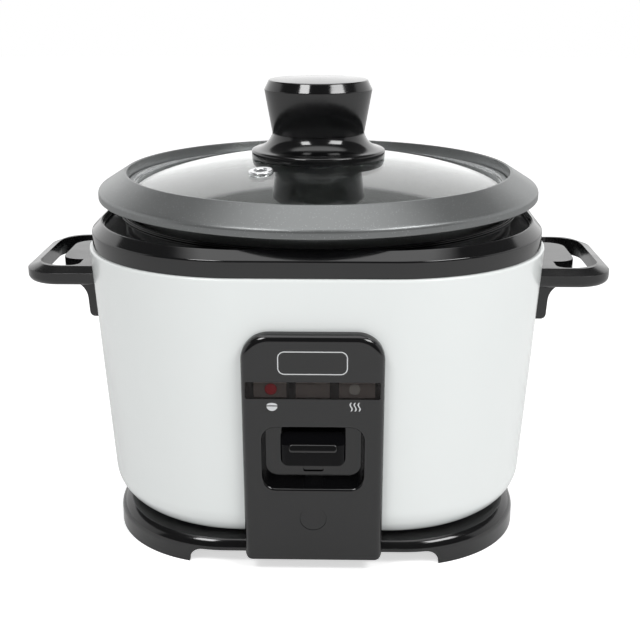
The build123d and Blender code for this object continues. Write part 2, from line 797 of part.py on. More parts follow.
apron = bar((-apron_w / 2, apron_w / 2), apron_y, apron_z)
save(pad + rib + neck + apron - arm_bar, "switch_lever")

fork_top_z = rod_collar_z - fork_gap
fork_low_z = fork_top_z - fork_t
leg_half = fork_t / 2
fork_swing = (pivot_z - fork_low_z) * math.sin(lever_press)
arm = arm_bar + pivot_axis * Cylinder(hub_r, fork_w)
arm += bar((-fork_w / 2, fork_w / 2), (pivot_y - leg_half, pivot_y + leg_half), (fork_low_z, pivot_z))
arm += bar((-fork_w / 2, fork_w / 2), (pivot_y - leg_half, fork_reach), (fork_low_z, fork_top_z))
slot_span_y = (-rod_r - fork_swing - slide_gap, fork_reach)
arm -= bar((-fork_slot_w / 2, fork_slot_w / 2), slot_span_y, (fork_low_z, fork_top_z))
arm -= pivot_axis * Cylinder(pin_r + fit_gap, fork_w)
save(arm, "lever_arm")

ear_in = fork_w / 2 + ear_gap
ear_out = ear_in + ear_t
frame_under_z = plate_bottom_z - frame_t
switch_frame = bar((-ear_out, ear_out), (frame_front_y, frame_back_y), (frame_under_z, plate_bottom_z))
for side in (-1, 1):
    ear_x = (min(side * ear_in, side * ear_out), max(side * ear_in, side * ear_out))
    ear_top = plate_bottom_z - housing_flange_t - slide_gap
    cheek = bar(ear_x, (pivot_y - ear_r, pivot_y + ear_r), (pivot_z, ear_top))
    web = bar(ear_x, (frame_front_y, frame_back_y), (pivot_z, plate_bottom_z))
    tip = Pos((ear_x[0] + ear_x[1]) / 2, pivot_y, pivot_z) * Rotation(0, 90, 0) * Cylinder(ear_r, ear_t)
    switch_frame += cheek + web + tip
switch_frame -= pivot_axis * Cylinder(pin_r + fit_gap, 2 * ear_out)
for y in frame_screw_y:
    switch_frame -= rod(frame_screw_r + fit_gap, frame_under_z, plate_bottom_z, 0, y)
save(switch_frame, "switch_frame")
frame_screws = []
for y in frame_screw_y:
    tip_z = plate_bottom_z + plate_screw_bite
    frame_screws.append(screw(frame_under_z, tip_z, 0, y, frame_screw_r, 2 * frame_screw_r, frame_screw_r))
save(group(frame_screws), "frame_screws")
pin_l = 2 * ear_out + 2 * pin_r
save(pivot_axis * Cylinder(pin_r, pin_l), "switch_pivot_pin")

# Contact block on the base's deck, with a leaf that the arm pushes down
block_x = (block_at_x - block_w / 2, block_at_x + block_w / 2)
block_y = (block_at_y - block_d / 2, block_at_y + block_d / 2)
block_top_z = base_h + block_h
contact_block = bar(block_x, block_y, (base_h, block_top_z))
save(chamfer(contact_block.edges().filter_by(Axis.Z), block_chamfer), "contact_block")
leaf_high_z = pivot_z - arm_t / 2 - leaf_gap - leaf_t
leaf_points = [
    (block_x[1] - leaf_w, block_top_z),
    (block_x[0], block_top_z),
    (arm_w / 2, leaf_high_z),
    (-arm_w / 2, leaf_high_z),
    (-arm_w / 2, leaf_high_z + leaf_t),
    (arm_w / 2 + leaf_t / 2, leaf_high_z + leaf_t),
    (block_x[0] + leaf_t / 2, block_top_z + leaf_t),
    (block_x[1] - leaf_w, block_top_z + leaf_t),
]
leaf_face = Plane.XZ.offset(-block_at_y - leaf_w / 2) * make_face(Polyline(*leaf_points, close=True))
save(extrude(leaf_face, -leaf_w), "contact_leaf")

# Keep-warm thermostat and thermal fuse, both clamped to the plate's underside
warm_x, warm_y = warm_at
warm_body = rod(warm_r, plate_bottom_z - warm_h, plate_bottom_z, warm_x, warm_y)
for side in (-1, 1):
    blade_x = warm_x + side * warm_r / 2
    blade_y = (warm_y - blade_w / 2, warm_y + blade_w / 2)
    blade_z = (plate_bottom_z - warm_h - blade_l, plate_bottom_z - warm_h)
    warm_body += bar((blade_x - blade_t / 2, blade_x + blade_t / 2), blade_y, blade_z)
save(warm_body, "warm_thermostat")
fuse_x, fuse_y = fuse_at
fuse_z = plate_bottom_z - fuse_r
fuse_place = Pos(fuse_x, fuse_y, fuse_z) * Rotation(90, 0, 0)
save(fuse_place * Cylinder(fuse_r, fuse_l), "thermal_fuse")
clip_y = (fuse_y - clip_w / 2, fuse_y + clip_w / 2)
clip = bar((fuse_x - clip_l / 2, fuse_x + clip_l / 2), clip_y, (plate_bottom_z - clip_t, plate_bottom_z))
clip_hump = bar((fuse_x - fuse_r - clip_t, fuse_x + fuse_r + clip_t), clip_y, (fuse_z, plate_bottom_z))
clip += clip_hump + fuse_place * Cylinder(fuse_r + clip_t, clip_w)
clip -= fuse_place * Cylinder(fuse_r + fit_gap, clip_w)
clip -= bar((fuse_x - fuse_r - fit_gap, fuse_x + fuse_r + fit_gap), clip_y, (fuse_z, plate_bottom_z + fuse_r))
clip_bound = bar((fuse_x - clip_l, fuse_x + clip_l), clip_y, (fuse_z - clip_l, plate_bottom_z))
save(clip & clip_bound, "fuse_clip")

# Control panel: moulded cover on the can's front, cut to the can and the base behind it
panel_low_z = base_h - panel_below
pocket_low_z = pad_low_z - pocket_below
pocket_top_z = pad_top_z + pocket_above
window_low_z = pocket_top_z + window_above
window_mid_z = window_low_z + window_h / 2
panel_top_z = window_low_z + window_h + crown_above
plug_z = pad_low_z - plug_at
can_solid = can_block(0, base_h, shell_top_z)


def front_slab(width, low, high, corner, proud, depth):
    """Rounded slab on the can's front face: its outer face stands proud of the can by proud."""
    middle = on_front((low + high) / 2)
    plan = Plane.XZ.offset(proud) * RectangleRounded(width, high - low, corner)
    return middle * extrude(plan, -depth)


def front_rod(x, z, radius, proud, depth):
    """Cylinder square to the can's front face."""
    return on_front(z) * extrude(Plane.XZ.offset(proud) * Pos(x, 0) * Circle(radius), -depth)


def panel_outline(inset):
    """Panel seen from the front: large corners at the top, small ones at the foot."""
    low = panel_low_z + inset
    high = panel_top_z - inset
    outline = Pos(0, (low + high) / 2 - panel_low_z) * Rectangle(panel_w - 2 * inset, high - low)
    corners = outline.vertices().sort_by(Axis.Y)
    outline = fillet(corners[2:], panel_top_r - inset)
    return fillet(outline.vertices().sort_by(Axis.Y)[:2], panel_foot_r - inset / 2)


panel_place = on_front(panel_low_z)
panel = panel_place * extrude(Plane.XZ.offset(panel_proud) * panel_outline(0), -panel_reach)
panel = fillet(panel.faces().sort_by(Axis.Y)[0].edges(), panel_edge_r)
panel_hollow = Plane.XZ.offset(panel_proud - panel_wall) * panel_outline(panel_wall)
panel -= panel_place * extrude(panel_hollow, -panel_reach)
panel -= can_solid
panel -= base_block
pocket_box = front_slab(
    pocket_w + 2 * pocket_wall,
    pocket_low_z - pocket_wall,
    pocket_top_z + pocket_wall,
    pocket_r + pocket_wall,
    panel_proud - panel_wall,
    pocket_depth + pocket_wall - panel_wall,
)
panel += pocket_box
panel -= front_slab(pocket_w, pocket_low_z, pocket_top_z, pocket_r, panel_proud, pocket_depth)
neck_drop = (pivot_y - pad_back_y) * math.sin(lever_press)
slot_low_z = pivot_z - neck_h / 2 - neck_drop - fit_gap
slot_top_z = pivot_z + neck_h / 2 + neck_top_gap
slot_w = neck_w + 2 * neck_side_gap
slot_depth = pocket_depth + 2 * pocket_wall
panel -= front_slab(slot_w, slot_low_z, slot_top_z, neck_slot_r, panel_proud, slot_depth)
window_w = panel_w - 2 * window_side
panel -= front_slab(window_w, window_low_z, window_low_z + window_h, window_corner_r, panel_proud, window_t)
for x in (-lamp_at, lamp_at):
    panel -= front_rod(x, window_mid_z, lamp_r + fit_gap, panel_proud, 2 * panel_wall)
panel -= front_rod(0, plug_z, plug_r + fit_gap, panel_proud, panel_wall)
panel_screw_low_z = base_h + shell_curl_r + panel_boss_r
panel_screw_xz = [
    (0, panel_top_z - panel_top_r),
    (-panel_screw_at, panel_screw_low_z),
    (panel_screw_at, panel_screw_low_z),
]
for x, z in panel_screw_xz:
    panel += front_rod(x, z, panel_boss_r, panel_proud - panel_wall, panel_proud - panel_wall)
    panel -= front_rod(x, z, screw_r + fit_gap, panel_screw_bite + fit_gap, panel_screw_bite + fit_gap)
save(panel, "control_panel")

window = front_slab(
    window_w - 2 * fit_gap,
    window_low_z + fit_gap,
    window_low_z + window_h - fit_gap,
    window_corner_r,
    panel_proud,
    window_t,
)
save(window, "indicator_window")
lamp_proud = panel_proud - window_t - fit_gap
save(front_rod(-lamp_at, window_mid_z, lamp_r, lamp_proud, lamp_l), "cook_lamp")
save(front_rod(lamp_at, window_mid_z, lamp_r, lamp_proud, lamp_l), "warm_lamp")
holder = front_slab(
    2 * (lamp_at + 2 * lamp_r),
    window_mid_z - holder_h / 2,
    window_mid_z + holder_h / 2,
    lamp_r,
    panel_proud - panel_wall,
    holder_t,
)
for x in (-lamp_at, lamp_at):
    holder -= front_rod(x, window_mid_z, lamp_r + fit_gap, panel_proud, 4 * panel_wall)
save(holder, "lamp_holder")
plug = front_rod(0, plug_z, plug_r, panel_proud - plug_sunk, panel_wall - plug_sunk)
plug += front_rod(0, plug_z, plug_r + plug_flange_w, panel_proud - panel_wall, plug_flange_w)
save(plug, "panel_plug")

# Inlet socket at the lower back, with three pins and two screws
inlet_place = on_back(inlet_at_z)


def back_slab(width, height, corner, outward, inward, x=0.0):
    """Rounded slab on the can's back face, from outside the face to inside it."""
    plan = Plane.XZ.offset(outward) * Pos(x, 0) * RectangleRounded(width, height, corner)
    return inlet_place * extrude(plan, -(outward + inward))


inlet = back_slab(inlet_flange_w, inlet_flange_h, inlet_wall, inlet_flange_t, 0)
inlet += back_slab(inlet_body_w, inlet_body_h, inlet_wall, 0, inlet_depth)
bore_w = inlet_body_w - 2 * inlet_wall
bore_h = inlet_body_h - 2 * inlet_wall
inlet -= back_slab(bore_w, bore_h, inlet_wall / 2, inlet_flange_t, inlet_depth - inlet_wall)
pins = []
for number in (-1, 0, 1):
    pin_x = number * inlet_pin_pitch
    hole_w = inlet_pin_w + 2 * fit_gap
    hole_h = inlet_pin_h + 2 * fit_gap
    inlet -= back_slab(hole_w, hole_h, inlet_pin_w / 4, 0, inlet_depth, pin_x)
    pin_outward = inlet_pin_out + inlet_wall - inlet_depth
    pin_inward = inlet_depth + inlet_tab
    pins.append(back_slab(inlet_pin_w, inlet_pin_h, inlet_pin_w / 4, pin_outward, pin_inward, pin_x))
inlet_screws = []
screw_turn = Rotation(90, 0, 0)
for x in (-inlet_screw_at, inlet_screw_at):
    hole = extrude(Plane.XZ.offset(inlet_flange_t) * Pos(x, 0) * Circle(screw_r + fit_gap), -inlet_flange_t)
    inlet -= inlet_place * hole
    outside_screw = screw(inlet_flange_t, -base_screw_bite, x, 0)
    inlet_screws.append(inlet_place * (screw_turn * outside_screw))
save(inlet, "inlet_socket")
save(group(pins), "inlet_pins")
save(group(inlet_screws), "inlet_screws")

# Handles: a loop with a finger gap round a tongue, and a stem against the can
handle_top_z = shell_top_z - handle_below_top
handle_low_z = handle_top_z - handle_t
handle_side = shell_half(handle_top_z)
loop_out = handle_side + handle_reach
loop_mid_z = handle_top_z - handle_bevel_h
loop_root = handle_side - handle_root
loop_plan = Pos((loop_root + loop_out) / 2, 0) * RectangleRounded(
    loop_out - loop_root, 2 * handle_half, handle_corner_r
)
bevel_deg = math.degrees(math.atan2(handle_bevel_w, handle_bevel_h))
loop = extrude(Plane.XY.offset(handle_low_z) * loop_plan, loop_mid_z - handle_low_z)
loop += extrude(Plane.XY.offset(loop_mid_z) * loop_plan, handle_bevel_h, taper=bevel_deg)
gap_in = handle_side + gap_from_shell
gap_out = loop_out - handle_bar
gap_half = handle_half - handle_arm
gap_plan = Pos((loop_root + gap_out) / 2, 0) * RectangleRounded(gap_out - loop_root, 2 * gap_half, gap_corner_r)
gap_plan &= Pos((gap_in + loop_out) / 2, 0) * RectangleRounded(loop_out - gap_in, 2 * gap_half, gap_root_r)
tongue_out = handle_side + tongue_reach
tongue_plan = Pos((loop_root + tongue_out) / 2, 0) * RectangleRounded(
    tongue_out - loop_root, 2 * tongue_half, tongue_r
)
gap_plan -= tongue_plan
gap_cut = extrude(Plane.XY.offset(handle_low_z - stem_fillet) * gap_plan, handle_t + stem_fillet)
stem_low_z = handle_low_z - stem_h
stem_box = bar(
    (loop_root, loop_out), (-stem_half, stem_half), (stem_low_z, handle_low_z + stem_edge_r)
)
stem = can_block(-stem_t, base_h, shell_top_z) & stem_box
stem_foot = stem.edges().filter_by(Axis.Y).sort_by(Axis.Z)[:2].sort_by(Axis.X)[-1]
stem = fillet(stem_foot, stem_edge_r)
fillet_x = shell_half(handle_low_z - stem_fillet) + stem_t
gusset = bar(
    (handle_side - stem_t, fillet_x + stem_fillet),
    (-stem_half, stem_half),
    (handle_low_z - stem_fillet, handle_low_z),
)
gusset_round = Pos(fillet_x + stem_fillet, 0, handle_low_z - stem_fillet) * Rotation(90, 0, 0)
gusset -= gusset_round * Cylinder(stem_fillet, 2 * stem_half)
handle = loop + stem + gusset - gap_cut - can_solid
handle_screw_z = handle_low_z - handle_screw_below
handle_screw_x = shell_half(handle_screw_z)
screw_lean = Rotation(0, 90 + shell_draft_deg, 0)
handle_screws = []
shell_screw_holes = []
for y in (-handle_screw_at, handle_screw_at):
    seat = Pos(handle_screw_x, y, handle_screw_z) * screw_lean
    hole = Cylinder(screw_r + fit_gap, 2 * (handle_screw_bite + fit_gap))
    handle -= seat * hole
    shell_screw_holes.append(seat * hole)
    handle_screws.append(seat * screw(-shell_wall, handle_screw_bite, 0, 0))
right_handle = handle
left_handle = mirror(handle, Plane.YZ)
save(right_handle, "right_handle")
save(left_handle, "left_handle")
left_screws = [mirror(one, Plane.YZ) for one in handle_screws]
left_holes = [mirror(one, Plane.YZ) for one in shell_screw_holes]
save(group(handle_screws + left_screws), "handle_screws")

# Panel screws, from inside the can into the panel's bosses
panel_screws = []
for x, z in panel_screw_xz:
    inside_screw = Pos(x, 0, 0) * Rotation(90, 0, 0) * screw(-shell_wall, panel_screw_bite, 0, 0)
    panel_screws.append(on_front(z) * inside_screw)
    shell_screw_holes.append(front_rod(x, z, screw_r + fit_gap, panel_proud, panel_proud + 2 * shell_wall))
save(group(panel_screws), "panel_screws")

# Outer shell: drawn steel can, flanged in at the top and curled in at the foot
foot_half = foot_flange_half - shell_foot_flange
foot_corner_r = shell_corner_r - (shell_half(shell_top_z) - foot_half)
shell = can_solid - can_block(shell_wall, base_h + shell_wall, shell_top_z - shell_wall)
shell -= rounded_slab(top_opening_half, top_opening_corner_r, collar_under_z - collar_h, shell_top_z)
shell -= rounded_slab(foot_half, foot_corner_r, base_h, base_h + shell_curl_r)
shell_rim = shell.faces().sort_by(Axis.Z)[-1].outer_wire().edges()
shell = fillet(shell_rim, shell_edge_r)
pocket_cut_w = pocket_w + 2 * pocket_wall + 2 * shell_cut_gap
pocket_cut_low_z = pocket_low_z - pocket_wall - shell_cut_gap
pocket_cut_top_z = pocket_top_z + pocket_wall + shell_cut_gap
cut_depth = 2 * panel_proud
pocket_cut_r = pocket_r + pocket_wall
shell -= front_slab(pocket_cut_w, pocket_cut_low_z, pocket_cut_top_z, pocket_cut_r, cut_over, cut_depth)
for x in (-lamp_at, lamp_at):
    shell -= front_rod(x, window_mid_z, lamp_r + shell_cut_gap, cut_over, cut_depth)
shell -= back_slab(inlet_body_w + 2 * fit_gap, inlet_body_h + 2 * fit_gap, inlet_wall, cut_over, cut_depth)
for x in (-inlet_screw_at, inlet_screw_at):
    hole = extrude(Plane.XZ.offset(cut_over) * Pos(x, 0) * Circle(screw_r + fit_gap), -cut_depth)
    shell -= inlet_place * hole
for hole in shell_screw_holes + left_holes:
    shell -= hole
for x, y in base_screw_xy:
    shell -= rod(screw_r + fit_gap, base_h, base_h + 2 * shell_wall, x, y)
save(shell, "outer_shell")

# Inner wires: inlet to terminal, inlet to contact block, terminal to contact block
pin_tip_y = shell_half(inlet_at_z) - inlet_depth - inlet_tab - pin_wire_gap
terminal_end_z = leg_low_z - terminal_l - wire_gap
left_leg, right_leg = sorted(leg_xy)
block_back_y = block_y[1] + wire_gap
low_run_z = base_h + wire_level
side_x, side_y = wire_side_at
neutral_points = [
    (inlet_pin_pitch, pin_tip_y, inlet_at_z),
    (inlet_pin_pitch, pin_tip_y - wire_lead, inlet_at_z),
    (*right_leg, terminal_end_z - wire_lead),
    (*right_leg, terminal_end_z),
]
live_points = [
    (-inlet_pin_pitch, pin_tip_y, inlet_at_z),
    (-inlet_pin_pitch, pin_tip_y - wire_lead, inlet_at_z),
    (-inlet_pin_pitch, wire_turn_y, low_run_z),
    (block_at_x, 0, low_run_z),
    (block_at_x, block_back_y, low_run_z),
]
element_points = [
    (*left_leg, terminal_end_z),
    (*left_leg, terminal_end_z - wire_lead),
    (side_x, side_y, low_run_z),
    (side_x, block_at_y, low_run_z),
    (block_x[0] - wire_gap, block_at_y, low_run_z),
]
save(wire_run(neutral_points), "neutral_wire")
save(wire_run(live_points), "live_wire")
save(wire_run(element_points), "element_wire")
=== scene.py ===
import json
import math

import bpy
from mathutils import Matrix, Vector

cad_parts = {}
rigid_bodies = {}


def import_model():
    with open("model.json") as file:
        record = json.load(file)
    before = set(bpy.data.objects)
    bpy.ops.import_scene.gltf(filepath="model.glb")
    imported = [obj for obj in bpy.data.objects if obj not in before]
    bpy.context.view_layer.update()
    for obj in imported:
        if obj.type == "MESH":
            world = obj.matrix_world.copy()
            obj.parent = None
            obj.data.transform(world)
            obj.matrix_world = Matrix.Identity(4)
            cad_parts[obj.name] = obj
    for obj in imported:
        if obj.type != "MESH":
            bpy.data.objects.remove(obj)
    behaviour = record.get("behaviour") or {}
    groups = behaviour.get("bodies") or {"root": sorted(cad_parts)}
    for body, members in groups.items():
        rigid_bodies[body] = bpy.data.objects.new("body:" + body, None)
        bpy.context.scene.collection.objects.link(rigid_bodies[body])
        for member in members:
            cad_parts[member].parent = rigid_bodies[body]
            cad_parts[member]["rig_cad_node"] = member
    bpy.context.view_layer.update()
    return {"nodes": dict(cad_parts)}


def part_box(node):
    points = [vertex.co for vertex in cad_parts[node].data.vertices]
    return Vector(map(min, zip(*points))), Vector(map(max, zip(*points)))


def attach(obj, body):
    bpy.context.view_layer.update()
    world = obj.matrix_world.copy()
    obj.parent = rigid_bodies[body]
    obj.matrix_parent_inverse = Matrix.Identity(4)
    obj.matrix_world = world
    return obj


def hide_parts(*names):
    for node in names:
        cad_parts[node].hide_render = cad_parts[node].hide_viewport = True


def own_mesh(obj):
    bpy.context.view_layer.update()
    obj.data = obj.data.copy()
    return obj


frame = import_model()
nodes = frame["nodes"]

# Base: a moulded black ABS tray. Its skirt has a round upper edge and is arched front and back,
# so that it stands on its corners. Slots in its deck let air in, and screws hold the can to it.


def linear(hex_code):
    """The linear colour that a shader takes, from an sRGB hex code."""
    parts = [int(hex_code[at:at + 2], 16) / 255 for at in (1, 3, 5)]
    return [p / 12.92 if p <= 0.04045 else ((p + 0.055) / 1.055) ** 2.4 for p in parts] + [1.0]


def add_node(tree, kind, inputs=None, **settings):
    """Adds a node: inputs holds a value or another node's output for each socket."""
    made = tree.nodes.new(kind)
    for name, value in settings.items():
        setattr(made, name, value)
    for socket, value in (inputs or {}).items():
        if isinstance(value, bpy.types.NodeSocket):
            tree.links.new(value, made.inputs[socket])
        else:
            made.inputs[socket].default_value = value
    return made


def new_finish(name, **sockets):
    """A material with its shader's plain values set: returns it, its tree and its shader."""
    finish = bpy.data.materials.new(name)
    finish.use_nodes = True
    shader = finish.node_tree.nodes["Principled BSDF"]
    for socket, value in sockets.items():
        shader.inputs[socket.replace("_", " ")].default_value = value
    return finish, finish.node_tree, shader


def feed(tree, shader, **outputs):
    """Joins the outputs of nodes to a shader's sockets."""
    for socket, output in outputs.items():
        tree.links.new(output, shader.inputs[socket.replace("_", " ")])


# Nearly all of a noise lies in its middle range. A mix node's colour sockets come after its plain ones.
noise_low, noise_high = 0.3, 0.7
mix_part, mix_from, mix_to, mix_result = 0, 6, 7, 2


def moulded_abs(name, body_hex, rough_low, rough_high, shine=0.5):
    """ABS from a polished mould: deep black, with faint flow ripple, a hazy polish and a little dust."""
    ripple = 0.004
    ripple_depth = 0.001
    haze = 0.018
    dust_hex = "#4c4d4f"
    dust_cell = 0.0065
    dust_r = 0.00013
    dust_core_r = 0.4 * dust_r
    finish, tree, shader = new_finish(name, IOR=1.53, Specular_IOR_Level=shine)
    where = add_node(tree, "ShaderNodeTexCoord").outputs["Object"]
    waves = add_node(tree, "ShaderNodeTexNoise", {"Vector": where, "Scale": 1 / ripple, "Detail": 2.0})
    cloud = add_node(tree, "ShaderNodeTexNoise", {"Vector": where, "Scale": 1 / haze, "Detail": 5.0})
    specks = add_node(tree, "ShaderNodeTexVoronoi", {"Vector": where, "Scale": 1 / dust_cell})
    dust = add_node(tree, "ShaderNodeMapRange", {
        "Value": specks.outputs["Distance"], "From Min": dust_core_r / dust_cell,
        "From Max": dust_r / dust_cell, "To Min": 1.0, "To Max": 0.0})
    rough = add_node(tree, "ShaderNodeMapRange", {
        "Value": cloud.outputs["Fac"], "From Min": noise_low, "From Max": noise_high,
        "To Min": rough_low, "To Max": rough_high}, clamp=False)
    shade = add_node(tree, "ShaderNodeMix", {
        mix_part: dust.outputs["Result"], mix_from: linear(body_hex), mix_to: linear(dust_hex)},
        data_type="RGBA")
    bump = add_node(tree, "ShaderNodeBump", {
        "Height": waves.outputs["Fac"], "Strength": 0.012, "Distance": ripple_depth})
    feed(tree, shader, Base_Color=shade.outputs[mix_result], Roughness=rough.outputs["Result"],
         Normal=bump.outputs["Normal"])
    return finish


black_abs = moulded_abs("gloss_black_abs", "#0b0b0c", rough_low=0.07, rough_high=0.16)


def rounded_plate(name, half_x, half_y, corner, height, segments=24):
    """Flat face with rounded corners, left selected in edit mode and facing up."""
    bpy.ops.object.select_all(action="DESELECT")
    bpy.ops.mesh.primitive_plane_add(size=2, location=(0, 0, height))
    plate = bpy.context.object
    plate.name = name
    plate.scale = (half_x, half_y, 1)
    bpy.ops.object.transform_apply(location=True, rotation=True, scale=True)
    bpy.ops.object.mode_set(mode="EDIT")
    bpy.ops.mesh.select_all(action="SELECT")
    bpy.ops.mesh.bevel(offset=corner, segments=segments, affect="VERTICES")
    bpy.ops.mesh.select_mode(type="FACE")
    bpy.ops.mesh.select_all(action="SELECT")
    return plate


def pull(x, y, z):
    """Extrudes what is selected and moves the new end by that much."""
    bpy.ops.mesh.extrude_region_move(TRANSFORM_OT_translate={"value": (x, y, z)})


def round_over(radius, from_deg, to_deg, steps):
    """Rolls the selected face's edge in along an arc: round from 0 to 90 degrees, hollow from -90 to -180."""
    turns = [math.radians(from_deg + (to_deg - from_deg) * at / steps) for at in range(steps + 1)]
    for before, after in zip(turns, turns[1:]):
        inset = radius * (math.cos(before) - math.cos(after))
        rise = radius * (math.sin(after) - math.sin(before))
        bpy.ops.mesh.inset(thickness=inset, depth=rise)


def pick_faces(piece, wanted):
    """Selects, in edit mode, the faces whose centre and normal pass a test."""
    bpy.ops.object.mode_set(mode="EDIT")
    bpy.ops.mesh.select_mode(type="FACE")
    bpy.ops.mesh.select_all(action="DESELECT")
    bpy.ops.object.mode_set(mode="OBJECT")
    for face in piece.data.polygons:
        face.select = wanted(face.center, face.normal)
    bpy.ops.object.mode_set(mode="EDIT")


def place(piece, matrix=None):
    """Leaves edit mode and puts a piece's place into its mesh."""
    bpy.ops.object.mode_set(mode="OBJECT")
    bpy.ops.object.select_all(action="DESELECT")
    piece.select_set(True)
    bpy.context.view_layer.objects.active = piece
    if matrix is not None:
        piece.matrix_world = matrix
    bpy.ops.object.transform_apply(location=True, rotation=True, scale=True)
    return piece


def thicken(piece, thickness, even=False):
    """Gives an open sheet its wall, inwards from its face."""
    place(piece)
    wall = piece.modifiers.new("wall", "SOLIDIFY")
    wall.thickness = thickness
    wall.offset = -1
    wall.use_even_offset = even
    bpy.ops.object.modifier_apply(modifier=wall.name)


def combine(piece, other, operation="DIFFERENCE"):
    """Cuts another mesh out of a piece, or joins it on, and throws the other away."""
    place(piece)
    knife = piece.modifiers.new("knife", "BOOLEAN")
    knife.object = other
    knife.operation = operation
    knife.solver = "EXACT"
    bpy.ops.object.modifier_apply(modifier=knife.name)
    bpy.data.objects.remove(other)


def soften(piece, width, segments=3, sharp_deg=32):
    """Rounds a piece's sharp edges, and shades it smooth with its flats kept flat."""
    place(piece)
    if width:
        edge = piece.modifiers.new("edge", "BEVEL")
        edge.width = width
        edge.segments = segments
        edge.limit_method = "ANGLE"
        edge.angle_limit = math.radians(sharp_deg)
        bpy.ops.object.modifier_apply(modifier=edge.name)
    bpy.ops.object.shade_smooth_by_angle(angle=math.radians(sharp_deg))
    flats = piece.modifiers.new("flats", "WEIGHTED_NORMAL")
    flats.keep_sharp = True
    bpy.ops.object.modifier_apply(modifier=flats.name)


def dress(piece, finish, body, slot, *stands_for):
    """Gives a piece its finish, hangs it on the body that it rides on, and hides the nodes that it stands
    for.
    """
    piece.data.materials.clear()
    piece.data.materials.append(finish)
    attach(piece, body)
    if stands_for:
        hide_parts(*stands_for)


base_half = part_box("base")[1].x
base_height = 0.013
base_corner = 0.057
base_edge_r = 0.0006
bead_r = 0.0062
deck_t = 0.003


def base_block(name):
    """The base's outer shape, closed."""
    block = rounded_plate(name, base_half, base_half, base_corner, 0, 32)
    pull(0, 0, base_height - bead_r)
    round_over(bead_r, 0, 90, 10)
    return block


square_on = 0.9
base = base_block("base_tray")
pick_faces(base, lambda centre, normal: centre.z < deck_t / 2 and abs(normal.z) > square_on)
bpy.ops.mesh.delete(type="ONLY_FACE")
thicken(base, deck_t, even=True)
arch_half = 0.0568
arch_height = 0.0069
arch_corner = 0.006
stood_up = Matrix.Rotation(math.pi / 2, 4, "X")
arch = rounded_plate("arch", arch_half, arch_height, arch_corner, -2 * base_half, 8)
pull(0, 0, 4 * base_half)
combine(base, place(arch, stood_up))
vent_half = 0.018
vent_r = 0.0015
vent_end_r = 0.98 * vent_r
vent_x = 0.027
vent_pitch = 0.009
vent_rows = 6
for row in range(vent_rows):
    for side in (-1, 1):
        vent = rounded_plate("vent", vent_half, vent_r, vent_end_r, 0, 6)
        pull(0, 0, 2 * base_height)
        vent_y = (row - (vent_rows - 1) / 2) * vent_pitch
        combine(base, place(vent, Matrix.Translation((side * vent_x, vent_y, 0))))
soften(base, base_edge_r, 2)
dress(base, black_abs, "can", "black_plastic", "base")

# Works inside the can: the heat shield, the cast hot plate with its element, the thermostat and the
# lever's steelwork. They are the imported solids, each in the metal or moulding that it is made of. The two
# coil springs are copies of theirs.


def paint(finish, *names):
    """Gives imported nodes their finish."""
    for name in names:
        nodes[name].data.materials.clear()
        nodes[name].data.materials.append(finish)


def grained(name, hex_low, hex_high, grain, rough, bump_strength=0.03, **sockets):
    """A plain finish whose shade, polish and surface vary with a grain of a real size."""
    finish, tree, shader = new_finish(name, **sockets)
    where = add_node(tree, "ShaderNodeTexCoord").outputs["Object"]
    noise = add_node(tree, "ShaderNodeTexNoise", {"Vector": where, "Scale": 1 / grain, "Detail": 4.0})
    shade = add_node(tree, "ShaderNodeMix", {
        mix_part: noise.outputs["Fac"], mix_from: linear(hex_low), mix_to: linear(hex_high)},
        data_type="RGBA")
    polish = add_node(tree, "ShaderNodeMapRange", {
        "Value": noise.outputs["Fac"], "From Min": noise_low, "From Max": noise_high,
        "To Min": rough[0], "To Max": rough[1]}, clamp=False)
    bump = add_node(tree, "ShaderNodeBump", {
        "Height": noise.outputs["Fac"], "Strength": bump_strength, "Distance": grain})
    feed(tree, shader, Base_Color=shade.outputs[mix_result], Roughness=polish.outputs["Result"],
         Normal=bump.outputs["Normal"])
    return finish


# Pressed aluminium and plated steel have a soft grey sheen, and brass a warm one.
pressed_aluminium = grained(
    "pressed_aluminium", "#b9babc", "#cfd0d1", grain=0.003, rough=(0.28, 0.4), Metallic=1.0)
zinc_steel = grained("zinc_plated_steel", "#a2a4a6", "#bdbfc0", grain=0.0012, rough=(0.25, 0.4), Metallic=1.0)
brass = grained("plain_brass", "#b08d4a", "#c6a55e", grain=0.0015, rough=(0.22, 0.36), Metallic=1.0)
# Sintered ferrite, moulded phenolic and extruded silicone are dull and a little uneven.
ferrite = grained("sintered_ferrite", "#2a2a2c", "#3a3a3c", grain=0.0006, rough=(0.5, 0.7))
phenolic = grained("brown_phenolic", "#4a2a18", "#5d3822", grain=0.0015, rough=(0.35, 0.5))
silicone = grained("silicone_sleeve", "#c9c6bc", "#d8d5cc", grain=0.002, rough=(0.5, 0.65))


def turned_metal(name, hex_code, groove, rough):
    """Metal faced on a lathe: fine rings about the upright axis, drawn coarse enough to show."""
    rings_at_scale_1 = 3.2
    finish, tree, shader = new_finish(name, Metallic=1.0, Base_Color=linear(hex_code), Roughness=rough)
    where = add_node(tree, "ShaderNodeTexCoord").outputs["Object"]
    rings = add_node(tree, "ShaderNodeTexWave", {
        "Vector": where, "Scale": 1 / groove / rings_at_scale_1, "Distortion": 0.4, "Detail": 2.0},
        wave_type="RINGS", rings_direction="Z")
    bump = add_node(tree, "ShaderNodeBump", {
        "Height": rings.outputs["Fac"], "Strength": 0.12, "Distance": groove / 4})
    feed(tree, shader, Normal=bump.outputs["Normal"])
    return finish


